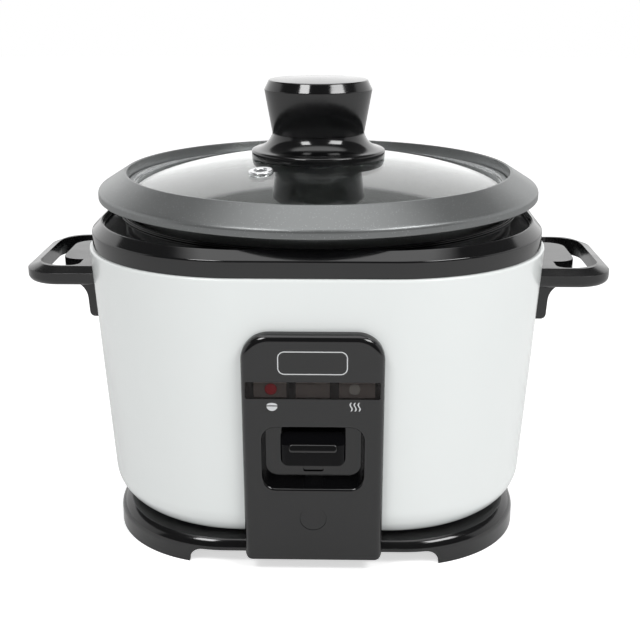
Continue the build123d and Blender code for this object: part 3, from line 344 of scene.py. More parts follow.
faced_aluminium = turned_metal("faced_aluminium", "#b4b5b7", groove=0.0012, rough=0.34)
paint(pressed_aluminium, "inner_liner", "sensor_cap")
paint(faced_aluminium, "hot_plate")
paint(zinc_steel, "heating_element", "plate_spacers", "plate_screws", "liner_screws", "base_screws",
      "handle_screws", "panel_screws", "frame_screws", "thermostat_housing", "pull_rod", "switch_frame",
      "switch_pivot_pin", "lever_arm", "fuse_clip")
paint(ferrite, "sensor_ferrite", "magnet")
paint(phenolic, "contact_block", "warm_thermostat", "lamp_holder")
paint(brass, "element_terminals", "contact_leaf", "thermal_fuse")
paint(silicone, "neutral_wire", "live_wire", "element_wire")


def live_spring(name):
    """Stands a copy in for a packed spring."""
    bpy.ops.object.select_all(action="DESELECT")
    nodes[name].select_set(True)
    bpy.context.view_layer.objects.active = nodes[name]
    bpy.ops.object.duplicate()
    spring = bpy.context.object
    spring.name = f"{name}_coil"
    del spring["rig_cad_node"]
    dress(spring, zinc_steel, "can", "steel", name)
    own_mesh(spring)


live_spring("thermostat_spring")
live_spring("release_spring")

# Outer shell: a drawn steel can, stove-enamelled white. It is a rounded square that narrows downwards,
# turned in at the top under the collar and curled in at the foot. It is cut out in front, behind the lever
# pocket, and at the back for the mains inlet.
shell_low, shell_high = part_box("outer_shell")
shell_draft = math.radians(3.65)
shell_foot_half = 0.09855
shell_corner = 0.074
shell_edge_r = 0.0009
shell_curl_r = 0.016
shell_wall = 0.0008
shell_flange = 0.004


def can_half(height):
    """Half width of the can at a height."""
    return shell_foot_half + (height - shell_low.z) * math.tan(shell_draft)


edge_z = shell_high.z - shell_edge_r
curl_z = shell_low.z + shell_curl_r * (1 - math.sin(shell_draft))
straight = 0.0005


def can_block(name):
    """The can's outer shape, closed."""
    block = rounded_plate(name, can_half(edge_z), can_half(edge_z), shell_corner, edge_z, 40)
    bpy.ops.mesh.flip_normals()
    pull(0, 0, -straight)
    side_drop = edge_z - straight - curl_z
    bpy.ops.mesh.inset(thickness=side_drop * math.tan(shell_draft), depth=side_drop)
    round_over(shell_curl_r, math.degrees(shell_draft), 90, 14)
    pick_faces(block, lambda centre, normal: centre.z > edge_z - straight / 4)
    round_over(shell_edge_r, 0, 90, 5)
    return block


shell = can_block("enamel_can")
for end_z in (shell_low.z, shell_high.z):
    pick_faces(shell, lambda centre, normal: (
        abs(centre.z - end_z) < straight / 4 and centre.xy.length < straight))
    bpy.ops.mesh.inset(thickness=shell_flange, depth=0)
    bpy.ops.mesh.delete(type="ONLY_FACE")
thicken(shell, shell_wall)


def cut_can(side, half, corner, low, high, segments):
    """Cuts a rounded hole through the can's front, side -1, or its back, side 1."""
    reach = 0.01
    middle = (low + high) / 2
    hole = rounded_plate("hole", half, (high - low) / 2, corner, 0, segments)
    pull(0, 0, 2 * reach)
    combine(shell, place(hole, Matrix.Translation((0, reach + side * can_half(middle), middle)) @ stood_up))


inlet_low, inlet_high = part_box("inlet_socket")
inlet_mid = (inlet_low.z + inlet_high.z) / 2
inlet_hole_rise = 0.0115
cut_can(-1, half=0.0233, corner=0.0075, low=0.0412, high=0.0746, segments=8)
cut_can(1, half=0.016, corner=0.003, low=inlet_mid - inlet_hole_rise, high=inlet_mid + inlet_hole_rise,
        segments=6)
soften(shell, 0)


def enamel(name, hex_low, hex_high):
    """Stove enamel over steel: bright cool white, a hard gloss with a faint orange-peel."""
    peel = 0.0022
    drift = 0.06
    finish, tree, shader = new_finish(name, IOR=1.5, Roughness=0.24, Coat_Weight=0.35, Coat_Roughness=0.04)
    where = add_node(tree, "ShaderNodeTexCoord").outputs["Object"]
    cloud = add_node(tree, "ShaderNodeTexNoise", {"Vector": where, "Scale": 1 / drift, "Detail": 3.0})
    dimples = add_node(tree, "ShaderNodeTexNoise", {"Vector": where, "Scale": 1 / peel, "Detail": 2.0})
    shade = add_node(tree, "ShaderNodeMix", {
        mix_part: cloud.outputs["Fac"], mix_from: linear(hex_low), mix_to: linear(hex_high)},
        data_type="RGBA")
    bump = add_node(tree, "ShaderNodeBump", {
        "Height": dimples.outputs["Fac"], "Strength": 0.02, "Distance": peel / 4})
    feed(tree, shader, Base_Color=shade.outputs[mix_result], Normal=bump.outputs["Normal"])
    return finish


white_enamel = enamel("white_stove_enamel", "#e3e7e6", "#e8ebea")
dress(shell, white_enamel, "can", "white_enamel", "outer_shell")

# Top collar: a moulded black ring that caps the can. Its outer edge is bevelled, and inside a narrow
# land it drops to a sunk ledge with a raised lip round the pot's opening.
collar_low_z = shell_high.z
collar_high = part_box("top_collar")[1]
collar_half = collar_high.x
collar_corner = 0.0725
collar_bevel = 0.0042
collar_land = 0.0010
collar_edge_r = 0.0006
well_draft = 0.0004
well_drop = 0.0025
lip_rise = 0.0015
lip_t = 0.0017
neck_drop = 0.0105
opening_r = 0.095
corner_steps = 40
near = 1e-5
collar = rounded_plate("collar_ring", collar_half, collar_half, collar_corner, collar_low_z, corner_steps)
pull(0, 0, collar_high.z - collar_low_z - collar_bevel)
bpy.ops.mesh.inset(thickness=collar_bevel, depth=collar_bevel)
bpy.ops.mesh.inset(thickness=collar_land, depth=0)
bpy.ops.mesh.inset(thickness=well_draft, depth=-well_drop)
bpy.ops.mesh.delete(type="ONLY_FACE")
pick_faces(collar, lambda centre, normal: centre.z < collar_low_z + near)
bpy.ops.mesh.delete(type="ONLY_FACE")


def pick_edges(piece, wanted):
    """Selects, in edit mode, the open edges whose two ends pass a test."""
    bpy.ops.object.mode_set(mode="EDIT")
    bpy.ops.mesh.select_mode(type="EDGE")
    bpy.ops.mesh.select_all(action="DESELECT")
    bpy.ops.mesh.select_non_manifold(
        extend=False, use_multi_face=False, use_non_contiguous=False, use_verts=False)
    bpy.ops.object.mode_set(mode="OBJECT")
    points = piece.data.vertices
    chosen = [edge.select and all(wanted(points[v].co) for v in edge.vertices) for edge in piece.data.edges]
    bpy.ops.object.mode_set(mode="EDIT")
    bpy.ops.mesh.select_all(action="DESELECT")
    bpy.ops.object.mode_set(mode="OBJECT")
    for edge, keep in zip(piece.data.edges, chosen):
        edge.select = keep
    bpy.ops.object.mode_set(mode="EDIT")


def face_out():
    """Turns every face of the piece that is in edit mode outwards."""
    bpy.ops.mesh.select_all(action="SELECT")
    bpy.ops.mesh.normals_make_consistent(inside=False)


well_z = collar_high.z - well_drop
lip_r = opening_r + lip_t
ring_count = 4 * (corner_steps + 1)
ring_turn = math.pi / 4 + math.pi / ring_count
bpy.ops.mesh.select_all(action="DESELECT")
bpy.ops.mesh.primitive_circle_add(
    vertices=ring_count, radius=lip_r, location=(0, 0, well_z), rotation=(0, 0, ring_turn))
pick_edges(collar, lambda point: abs(point.z - well_z) < near)
bpy.ops.mesh.bridge_edge_loops()
pick_edges(collar, lambda point: abs(point.z - well_z) < near and point.xy.length < lip_r + lip_t / 5)
pull(0, 0, lip_rise)
pull(0, 0, 0)
inner_scale = opening_r / lip_r
bpy.ops.transform.resize(value=(inner_scale, inner_scale, 1), center_override=(0, 0, 0))
pull(0, 0, -neck_drop - lip_rise)
pick_edges(collar, lambda point: True)
bpy.ops.mesh.bridge_edge_loops()
face_out()
soften(collar, collar_edge_r)
dress(collar, black_abs, "can", "black_plastic", "top_collar")

# Handles: two moulded black loops. Each has a bevelled rim, a finger gap round a tongue, and a stem
# that lies against the can, filleted under the loop, with two screws from inside the can.
satin_abs = moulded_abs("satin_black_abs", "#0c0c0d", rough_low=0.16, rough_high=0.26)


def chain(name, points):
    """Draws a line through points from a single vertex, left selected in edit mode."""
    seed = 0.001
    bpy.ops.object.select_all(action="DESELECT")
    bpy.ops.mesh.primitive_plane_add(size=seed, location=points[0])
    line = bpy.context.object
    line.name = name
    bpy.ops.object.transform_apply(location=True, rotation=True, scale=True)
    bpy.ops.object.mode_set(mode="EDIT")
    bpy.ops.mesh.select_mode(type="VERT")
    bpy.ops.mesh.select_all(action="SELECT")
    bpy.ops.mesh.merge(type="CENTER")
    for before, after in zip(points, points[1:]):
        pull(*(Vector(after) - Vector(before)))
    bpy.ops.mesh.select_all(action="SELECT")
    return line


def outlined(name, points, facing):
    """Flat face inside a line of points, turned to face one way and left selected."""
    face = chain(name, points)
    bpy.ops.mesh.edge_face_add()
    bpy.ops.mesh.select_mode(type="FACE")
    bpy.ops.mesh.select_all(action="SELECT")
    bpy.ops.object.mode_set(mode="OBJECT")
    turned_away = face.data.polygons[0].normal.dot(Vector(facing)) < 0
    bpy.ops.object.mode_set(mode="EDIT")
    if turned_away:
        bpy.ops.mesh.flip_normals()
    return face


def rounded_profile(corners, steps=6):
    """Points of a line through (across, up, rounding) corners, with each corner rounded to an arc."""
    points = []
    count = len(corners)
    for number, (across, up, rounding) in enumerate(corners):
        corner = Vector((across, up))
        if not rounding:
            points.append(corner)
            continue
        back = (Vector(corners[number - 1][:2]) - corner).normalized()
        on = (Vector(corners[(number + 1) % count][:2]) - corner).normalized()
        half = back.angle(on) / 2
        middle = corner + (back + on).normalized() * rounding / math.sin(half)
        first = corner + back * rounding / math.tan(half) - middle
        last = corner + on * rounding / math.tan(half) - middle
        sweep = first.angle(last)
        for at in range(steps + 1):
            part = at / steps
            points.append(middle + (first * math.sin((1 - part) * sweep) + last * math.sin(part * sweep))
                          / math.sin(sweep))
    return points


handle_low, handle_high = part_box("right_handle")
handle_edge_r = 0.0005
handle_sharp_deg = 14
loop_t = 0.0083
loop_root = 0.0965
loop_corner = 0.017
loop_low = handle_high.z - loop_t
rim_bevel_w = 0.006
rim_bevel_h = 0.0022
belly_r = 0.0030
belly_z = loop_low + belly_r
handle_reach = 0.0353
handle_side = handle_high.x - handle_reach
gap_start = 0.009
gap_in = handle_side + gap_start
bar_w = 0.0048
gap_out = handle_high.x - bar_w
gap_half = 0.032
gap_root_r = 0.005
gap_corner = 0.015
tongue_reach = 0.0202
tongue_out = handle_side + tongue_reach
tongue_half = 0.020
tongue_corner = 0.009
stem_half = 0.030
stem_t = 0.0066
stem_foot_r = 0.0025
stem_fillet = 0.009
stem_overlap = 0.001
skin_in = 0.0003


def slab(name, x_span, y_span, corner, z_span, segments=10):
    """Block with rounded upright edges between two places along each axis."""
    half_x = (x_span[1] - x_span[0]) / 2
    half_y = (y_span[1] - y_span[0]) / 2
    block = rounded_plate(name, half_x, half_y, corner, z_span[0], segments)
    pull(0, 0, z_span[1] - z_span[0])
    return place(block, Matrix.Translation((x_span[0] + half_x, y_span[0] + half_y, 0)))


loop_corners = [
    (loop_root, -handle_high.y, 0),
    (handle_high.x, -handle_high.y, loop_corner),
    (handle_high.x, handle_high.y, loop_corner),
    (loop_root, handle_high.y, 0),
]
handle = outlined("right_grip", [(x, y, belly_z) for x, y in rounded_profile(loop_corners, 14)], (0, 0, 1))
pull(0, 0, loop_t - belly_r - rim_bevel_h)
bpy.ops.mesh.inset(thickness=rim_bevel_w, depth=rim_bevel_h)
face_out()
pick_faces(handle, lambda centre, normal: centre.z < belly_z + near)
round_over(belly_r, 0, 90, 7)
place(handle)
gap_z = (loop_low - 2 * loop_t, handle_high.z + loop_t)
gap_corners = [
    (gap_in, -gap_half, gap_root_r),
    (gap_out, -gap_half, gap_corner),
    (gap_out, gap_half, gap_corner),
    (gap_in, gap_half, gap_root_r),
]
gap = outlined("gap", [(x, y, gap_z[0]) for x, y in rounded_profile(gap_corners, 12)], (0, 0, 1))
pull(0, 0, gap_z[1] - gap_z[0])
place(gap)
tongue_y = (-tongue_half, tongue_half)
combine(gap, slab("tongue", (loop_root, tongue_out), tongue_y, tongue_corner, (0, 2 * gap_z[1])))
stem_low = handle_low.z
stem_top = loop_low + stem_overlap
stem_out = can_half(loop_low) + stem_t
fillet_out = stem_out + 1.6 * stem_fillet
stem_corners = [
    (can_half(stem_low) - skin_in, stem_low, 0),
    (can_half(stem_low) + stem_t, stem_low, stem_foot_r),
    (stem_out, loop_low, stem_fillet),
    (fillet_out, loop_low, 0),
    (fillet_out, stem_top, 0),
    (can_half(loop_low) - skin_in, stem_top, 0),
]
stem = outlined("stem", [(x, -stem_half, z) for x, z in rounded_profile(stem_corners, 10)], (0, 1, 0))
pull(0, 2 * stem_half, 0)
face_out()
combine(handle, place(stem), "UNION")
combine(handle, gap)
soften(handle, handle_edge_r, sharp_deg=handle_sharp_deg)
bpy.ops.object.select_all(action="DESELECT")
handle.select_set(True)
bpy.ops.object.duplicate()
other_handle = bpy.context.object
other_handle.name = "left_grip"
place(other_handle, Matrix.Scale(-1, 4, (1, 0, 0)))
bpy.ops.object.mode_set(mode="EDIT")
face_out()
soften(other_handle, 0, sharp_deg=handle_sharp_deg)
dress(handle, satin_abs, "can", "black_plastic", "right_handle")
dress(other_handle, satin_abs, "can", "black_plastic", "left_handle")

# Control panel: a moulded black cover on the can's front. It is hollow, cut to the can and the base behind
# it, and has a sunk pocket for the lever, a recess for the lamp window and a hole for a round plug.
panel_low = 0.0064
panel_height = 0.1082
panel_half = 0.0305
panel_front = 0.00515
panel_wall = 0.0022
panel_reach = 0.020
panel_top_r = 0.012
panel_foot_r = 0.0036
panel_side_r = 0.0032
panel_foot_edge_r = 0.0008
panel_edge_r = 0.0005
lean_sin, lean_cos = math.sin(shell_draft), math.cos(shell_draft)
panel_frame = Matrix((
    (1, 0, 0, 0),
    (0, -lean_sin, -lean_cos, -can_half(panel_low)),
    (0, lean_cos, -lean_sin, panel_low),
    (0, 0, 0, 1),
))


def panel_plate(name, inset, z_low, z_high, edge_r, drop=0):
    """Plate of the panel's outline, drawn flat: x to the right, y up the can, z out of it."""
    foot_r = panel_foot_r - inset / 2
    top_r = panel_top_r - inset
    half = panel_half - inset
    panel_corners = [
        (-half, inset - drop, foot_r),
        (half, inset - drop, foot_r),
        (half, panel_height - inset, top_r),
        (-half, panel_height - inset, top_r),
    ]
    plate = outlined(name, [(x, y, z_low) for x, y in rounded_profile(panel_corners, 14)], (0, 0, 1))
    pull(0, 0, z_high - z_low - edge_r)
    if edge_r:
        round_over(edge_r, 0, 90, 9)
    return place(plate, panel_frame)


panel = panel_plate("front_panel", 0, -panel_reach, panel_front, panel_side_r, 2 * panel_side_r)
panel_past = -1.1 * panel_reach
combine(panel, panel_plate("foot_trim", 0, panel_past, panel_front, panel_foot_edge_r), "INTERSECT")
combine(panel, panel_plate("hollow", panel_wall, panel_past, panel_front - panel_wall, 0))
combine(panel, place(can_block("can_solid")))
combine(panel, place(base_block("base_solid")))
pocket_half = 0.02195
pocket_y = (0.0362, 0.0657)
pocket_corner = 0.006
pocket_depth = 0.0072
pocket_wall = 0.0006
pocket_lip_r = 0.0013
# Each step of the pocket's wall: how far it sinks, how much its sill ramps up and how far it draws in.
pocket_steps = ((0.0045, 0.0022, 0.0008), (0.0014, 0.0010, 0.0004))
cut_proud = 0.001
box_x = pocket_half + pocket_wall
box_y = (pocket_y[0] - pocket_wall, pocket_y[1] + pocket_wall)
box_z = (panel_front - pocket_depth - pocket_wall, panel_front - panel_wall / 2)
pocket_box = slab("pocket_box", (-box_x, box_x), box_y, pocket_corner + pocket_wall, box_z)
combine(panel, place(pocket_box, panel_frame), "UNION")
pocket_rise = (pocket_y[1] - pocket_y[0]) / 2
mouth = [size + pocket_lip_r for size in (pocket_half, pocket_rise, pocket_corner)]
pocket = rounded_plate("pocket", *mouth, panel_front + cut_proud, 12)
bpy.ops.mesh.flip_normals()
pull(0, 0, -cut_proud)
round_over(pocket_lip_r, -90, -180, 6)
for sink, ramp, draw_in in pocket_steps:
    pull(0, ramp / 2, -sink)
    squeeze = (1 - draw_in / pocket_half, 1 - ramp / 2 / pocket_rise, 1)
    bpy.ops.transform.resize(value=squeeze, center_override=(0, 0, 0))
pocket_mid = Matrix.Translation((0, (pocket_y[0] + pocket_y[1]) / 2, 0))
combine(panel, place(pocket, panel_frame @ pocket_mid))
cut_reach = 0.02
lever_slot_half = 0.0045
lever_slot_x = (-lever_slot_half, lever_slot_half)
lever_slot_y = (0.0411, 0.0551)
lever_slot_corner = 0.001
lever_slot = slab("lever_slot", lever_slot_x, lever_slot_y, lever_slot_corner, (-cut_reach, 0), 4)
combine(panel, place(lever_slot, panel_frame))
window_half = 0.0286
window_y = (0.0795, 0.0871)
window_t = 0.0006
window_gap = 0.0001
window_tilt = math.radians(5)
screen_room = 0.0005
recess_x = (-window_half - window_gap, window_half + window_gap)
recess_y = (window_y[0] - window_gap, window_y[1] + window_gap)
recess_corner = 0.0007
recess_depth = (window_y[1] - window_y[0]) * math.tan(window_tilt) + window_t + screen_room
recess_floor = panel_front - recess_depth
recess = slab("recess", recess_x, recess_y, recess_corner, (recess_floor, cut_reach), 4)
combine(panel, place(recess, panel_frame))


def drum(name, x, y, radius, z_span, vertices=48):
    """Cylinder standing out of the panel at a place on it."""
    bpy.ops.object.select_all(action="DESELECT")
    bpy.ops.mesh.primitive_cylinder_add(
        vertices=vertices, radius=radius, depth=z_span[1] - z_span[0], location=(x, y, sum(z_span) / 2))
    piece = bpy.context.object
    piece.name = name
    place(piece)
    return place(piece, panel_frame)


def cut_lamp_holes(piece):
    """Cuts the two holes that the lamps show through."""
    lamp_x = 0.0178
    lamp_y = (window_y[0] + window_y[1]) / 2
    lamp_r = 0.0025
    for side in (-1, 1):
        combine(piece, drum("lamp_hole", side * lamp_x, lamp_y, lamp_r + window_gap, (0, cut_reach / 2)))


cut_lamp_holes(panel)
plug_r = 0.00575
plug_gap = 0.00012
plug_y = 0.0215
combine(panel, drum("plug_hole", 0, plug_y, plug_r + plug_gap, (0, cut_reach), 64))
soften(panel, panel_edge_r)
dress(panel, black_abs, "can", "black_plastic", "control_panel")
paint(satin_abs, "panel_plug")

# Lamp window: a strip of smoked acrylic in the recess, tilted a little, with its upper edge further out.
# Behind it a painted screen with black bars lies on the floor of the recess, round a red cooking lamp and a
# clear keep-warm lamp in their holder.
strip_corner = 0.0006
strip_edge_r = 0.0002
strip = slab("window_strip", (-window_half, window_half), window_y, strip_corner, (-window_t, 0), 4)
hinge_line = Matrix.Translation((0, window_y[0], panel_front - window_gap))
tilted = hinge_line @ Matrix.Rotation(window_tilt, 4, "X") @ Matrix.Translation((0, -window_y[0], 0))
place(strip, panel_frame @ tilted)
soften(strip, strip_edge_r, 2)
# Smoked acrylic lets a dim brown view through, with a hard shine. The lamps' moulded lenses are smooth.
smoked = grained("smoked_acrylic", "#171413", "#1c1817", grain=0.02, rough=(0.03, 0.06),
                 bump_strength=0.002, IOR=1.25, Alpha=0.42)
red_lamp = grained("red_lamp", "#d8142a", "#e61c33", grain=0.003, rough=(0.1, 0.2),
                   bump_strength=0.01, IOR=1.5)
clear_lamp = grained("clear_lamp", "#b5b0a9", "#c4bfb8", grain=0.003, rough=(0.1, 0.2),
                     bump_strength=0.01, IOR=1.5)
# Screen paint is flat and warm grey.
screen_paint = grained("lamp_screen_paint", "#8b807b", "#948984", grain=0.004, rough=(0.5, 0.6))
dress(strip, smoked, "can", "smoked_acrylic", "indicator_window")
paint(red_lamp, "cook_lamp")
paint(clear_lamp, "warm_lamp")
screen_gap = 0.00005
screen_top = 0.0002
screen_corner = 0.0005
inlay_edge_r = 0.0001
screen_z = (recess_floor + screen_gap, recess_floor + screen_top)
screen = slab("lamp_screen", recess_x, window_y, screen_corner, screen_z, 3)
place(screen, panel_frame)
cut_lamp_holes(screen)
soften(screen, inlay_edge_r, 2)
dress(screen, screen_paint, "can", "brown_plastic")
bar_spans = ((-0.0286, -0.0251), (-0.0111, -0.0072), (0.0072, 0.0111), (0.0264, 0.0286))
bar_sink = 0.0001
bar_rise = 0.0002
bar_corner = 0.0002
bar_z = (screen_z[1] - bar_sink, screen_z[1] + bar_rise)
for number, bar_x in enumerate(bar_spans):
    bar = slab(f"window_bar_{number + 1}", bar_x, window_y, bar_corner, bar_z, 3)
    place(bar, panel_frame)
    soften(bar, inlay_edge_r, 2)
    dress(bar, satin_abs, "can", "black_plastic")

# Marks: printed on the panel in pale ink, which is flat and even. A bare framed plate is at the top, and
# under the window a covered bowl stands for cooking and three waves of warmth for keeping warm.
ink = grained("pale_ink", "#c4c6c7", "#d3d5d6", grain=0.0008, rough=(0.4, 0.5))
ink_sink = 0.00005
ink_proud = 0.00004
ink_z = (panel_front - ink_sink, panel_front + ink_proud)
plate_x = 0.0148
plate_y = 0.0960
plate_rise = 0.0053
plate_corner = 0.0030
plate_line = 0.00045
plate_span = (plate_y - plate_rise, plate_y + plate_rise)
plate = slab("maker_plate", (-plate_x, plate_x), plate_span, plate_corner, ink_z, 8)
bare_x = plate_x - plate_line
bare_span = (plate_span[0] + plate_line, plate_span[1] - plate_line)
combine(plate, slab("bare", (-bare_x, bare_x), bare_span, plate_corner - plate_line, (0, cut_reach / 2), 8))
place(plate, panel_frame)
soften(plate, 0)
dress(plate, ink, "can", "black_plastic")


def printed(name, points):
    """Flat mark on the panel from its outline."""
    mark = outlined(name, [(x, y, ink_z[0]) for x, y in points], (0, 0, 1))
    pull(0, 0, ink_z[1] - ink_z[0])
    face_out()
    place(mark, panel_frame)
    soften(mark, 0)
    dress(mark, ink, "can", "black_plastic")


sign_y = 0.0760
bowl_x = -0.0173
bowl_r = 0.0023
bowl_gap = 0.0005
half_turn = [math.pi * at / 20 for at in range(21)]
for name, foot_y, swell in (("cook_bowl", sign_y, -0.9), ("cook_bowl_lid", sign_y + bowl_gap, 0.5)):
    printed(name, [(bowl_x + bowl_r * math.cos(a), foot_y + swell * bowl_r * math.sin(a)) for a in half_turn])
waves_x = 0.0180
wave_h = 0.0040
wave_swing = 0.0004
wave_line = 0.00028
wave_pitch = 0.0017
up_wave = [at / 16 for at in range(17)]
for number in (-1, 0, 1):
    wave_x = waves_x + number * wave_pitch
    line = [(wave_x + wave_swing * math.sin(2 * math.pi * t), sign_y + wave_h * (t - 0.5)) for t in up_wave]
    left = [(x - wave_line, y) for x, y in line]
    right = [(x + wave_line, y) for x, y in reversed(line)]
    printed(f"warm_wave_{number + 2}", left + right)

# Lever: a moulded black finger bar with a leaning rib across its face. Its neck goes in through a slot in the
# pocket to the steel arm, and an apron behind the pocket closes the slot.
pad_half = 0.0141
pad_z = (0.0532, 0.0690)
band_z = (0.0610, 0.0634)
band_mid = sum(band_z) / 2
pad_proud = 0.0051
pad_t = 0.0045
pad_slope = 0.0026
pad_undercut = 0.0014
pad_end = 0.0034
pad_foot_r = 0.0001
pad_face_r = 0.0008
pad_front = -can_half(sum(pad_z) / 2) - pad_proud
pad_back = pad_front + pad_t
pad_section = [
    (pad_back, pad_z[0], 0),
    (pad_front + pad_undercut, pad_z[0], pad_foot_r),
    (pad_front, band_z[0], pad_face_r),
    (pad_front, band_z[1], pad_face_r),
    (pad_front + pad_slope, pad_z[1], pad_face_r),
    (pad_back, pad_z[1], 0),
]
pad_mid_x = pad_half - pad_end
lever = outlined("finger_lever", [(-pad_mid_x, y, z) for y, z in rounded_profile(pad_section, 5)], (1, 0, 0))
pull(2 * pad_mid_x, 0, 0)
# The rounded ends lose these shares of the bar's depth and height.
end_loss = (0.5, 0.36)
end_steps = 8
for side in (1, -1):
    pick_faces(lever, lambda centre, normal: centre.x * side > pad_mid_x - near and abs(normal.x) > square_on)
    for step in range(end_steps):
        before, after = (math.radians(90 * at / end_steps) for at in (step, step + 1))
        pull(side * pad_end * (math.sin(after) - math.sin(before)), 0, 0)
        shrink = [
            (1 - loss * (1 - math.cos(after))) / (1 - loss * (1 - math.cos(before))) for loss in end_loss]
        bpy.ops.transform.resize(value=(1, *shrink), center_override=(0, pad_back, band_mid))
face_out()
place(lever)
neck_half = 0.0042
neck_corner = 0.0003
neck_sink = 0.0005
neck_reach = 0.012
neck_y = (pad_back - neck_sink, pad_back + neck_reach)
lever_neck_z = (0.0562, 0.0603)
combine(lever, slab("neck", (-neck_half, neck_half), neck_y, neck_corner, lever_neck_z, 3), "UNION")
apron_half = 0.008
apron_y = (0.0391, 0.0505)
apron_t = 0.0012
apron_gap = 0.00025
apron_corner = 0.0003
apron_edge_r = 0.0002
apron_front = panel_front - pocket_depth - pocket_wall - apron_gap
apron_z = (apron_front - apron_t, apron_front)
apron = slab("apron", (-apron_half, apron_half), apron_y, apron_corner, apron_z, 3)
lever_edge_r = 0.0003
soften(lever, lever_edge_r, sharp_deg=40)
# The lever has a darker, less shiny copy of the black ABS: painted shade, which stands in for the dark
# reflections on its faces.
shaded_lever_abs = moulded_abs("lever_black_abs_shaded", "#08080a", rough_low=0.07, rough_high=0.12, shine=0.1)
dress(lever, shaded_lever_abs, "lever", "black_plastic", "switch_lever")
place(apron, panel_frame)
soften(apron, apron_edge_r, 2)
dress(apron, black_abs, "lever", "black_plastic")
rib_half = 0.0106
rib_rise = 0.0020
rib_corner = 0.0015
rib_sink = 0.001
rib_proud = 0.0016
rib_edge_r = 0.0013
rib_lean = math.radians(18)
rib = rounded_plate("lever_rib", rib_half, rib_rise, rib_corner, -rib_sink, 10)
pull(0, 0, rib_sink + rib_proud - rib_edge_r)
round_over(rib_edge_r, 0, 80, 8)
rib_turn = Matrix.Rotation(math.pi / 2 - rib_lean, 4, "X")
place(rib, Matrix.Translation((0, pad_front, band_mid)) @ rib_turn)
soften(rib, 0, sharp_deg=60)
dress(rib, black_abs, "lever", "black_plastic")

# Mains inlet: a socket low at the back of the can, with three brass pins, held by two screws. It is nylon
# from a textured mould, which looks matt.
inlet_black = grained(
    "matte_black_nylon", "#161617", "#1e1e1f", grain=0.0009, rough=(0.4, 0.5), bump_strength=0.05)
paint(inlet_black, "inlet_socket")
paint(brass, "inlet_pins")
paint(zinc_steel, "inlet_screws")

# Inner pot: spun aluminium with a grey speckled non-stick coat. It has a ledge for the lid, and its wide rim
# slopes out and down to a rolled lip.
pot_low, pot_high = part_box("inner_pot")


def turned(name, points, steps=160):
    """Solid of revolution from a closed line of (radius, height) points."""
    weld = 1e-6
    piece = chain(name, [(across, 0, up) for across, up in points] + [(points[0][0], 0, points[0][1])])
    bpy.ops.mesh.spin(steps=steps, angle=2 * math.pi, center=(0, 0, 0), axis=(0, 0, 1))
    bpy.ops.mesh.select_all(action="SELECT")
    bpy.ops.mesh.remove_doubles(threshold=weld)
    face_out()
    return place(piece)


pot_r = 0.092
pot_wall = 0.0015
pot_in_r = pot_r - pot_wall
pot_bottom = pot_low.z
pot_corner = 0.014
pot_bend_r = 0.001
ledge_drop = 0.0746
ledge_z = pot_bottom + ledge_drop
ledge_r = 0.0007
step_r = 0.095
rim_in_r = step_r - pot_wall
rim_in_edge_r = 0.0004
crest_r = 0.0947
crest_edge_r = 0.0007
rim_reach = pot_high.x
roll_in = 0.0015
slope_r = rim_reach - roll_in
slope_drop = 0.0076
slope_z = pot_high.z - slope_drop
roll_drop = 0.0004
roll_r = 0.0026
roll_height = 0.0044
roll_low = slope_z - roll_height
roll_edge_r = 0.0006
pot_section = [
    (0, pot_bottom, 0),
    (pot_r, pot_bottom, pot_corner),
    (pot_r, ledge_z - pot_wall, pot_bend_r),
    (step_r, ledge_z - pot_wall, pot_bend_r),
    (step_r, pot_high.z - 2.2 * pot_wall, pot_bend_r),
    (slope_r - pot_wall, slope_z - 1.6 * pot_wall, pot_bend_r),
    (rim_reach - pot_wall, roll_low, roll_edge_r),
    (rim_reach, roll_low, roll_edge_r),
    (rim_reach, slope_z - roll_drop, roll_r),
    (crest_r, pot_high.z, crest_edge_r),
    (rim_in_r, pot_high.z, rim_in_edge_r),
    (rim_in_r, ledge_z, ledge_r),
    (pot_in_r, ledge_z, ledge_r),
    (pot_in_r, pot_bottom + pot_wall, pot_corner - pot_wall),
    (0, pot_bottom + pot_wall, 0),
]
pot = turned("non_stick_pot", rounded_profile(pot_section, 7))
soften(pot, 0, sharp_deg=40)


def speckled(name, hex_low, hex_high, fleck_hex, rough_low, rough_high):
    """Non-stick coat: a satin metallic grey with fine pale flecks and a slight stipple."""
    fleck_cell = 0.0011
    fleck_r = 0.00022
    fleck_core_r = 0.5 * fleck_r
    fleck_strength = 0.5
    drift = 0.03
    finish, tree, shader = new_finish(name, Metallic=0.75, IOR=1.3)
    where = add_node(tree, "ShaderNodeTexCoord").outputs["Object"]
    cells = add_node(tree, "ShaderNodeTexVoronoi", {"Vector": where, "Scale": 1 / fleck_cell})
    cloud = add_node(tree, "ShaderNodeTexNoise", {"Vector": where, "Scale": 1 / drift, "Detail": 6.0})
    fleck = add_node(tree, "ShaderNodeMapRange", {
        "Value": cells.outputs["Distance"], "From Min": fleck_core_r / fleck_cell,
        "From Max": fleck_r / fleck_cell, "To Min": fleck_strength, "To Max": 0.0})
    coat = add_node(tree, "ShaderNodeMix", {
        mix_part: cloud.outputs["Fac"], mix_from: linear(hex_low), mix_to: linear(hex_high)},
        data_type="RGBA")
    shade = add_node(tree, "ShaderNodeMix", {
        mix_part: fleck.outputs["Result"], mix_from: coat.outputs[mix_result], mix_to: linear(fleck_hex)},
        data_type="RGBA")
    rough = add_node(tree, "ShaderNodeMapRange", {
        "Value": cloud.outputs["Fac"], "From Min": noise_low, "From Max": noise_high,
        "To Min": rough_low, "To Max": rough_high}, clamp=False)
    bump = add_node(tree, "ShaderNodeBump", {
        "Height": cells.outputs["Distance"], "Strength": 0.05, "Distance": fleck_r})
    feed(tree, shader, Base_Color=shade.outputs[mix_result], Roughness=rough.outputs["Result"],
         Normal=bump.outputs["Normal"])
    return finish


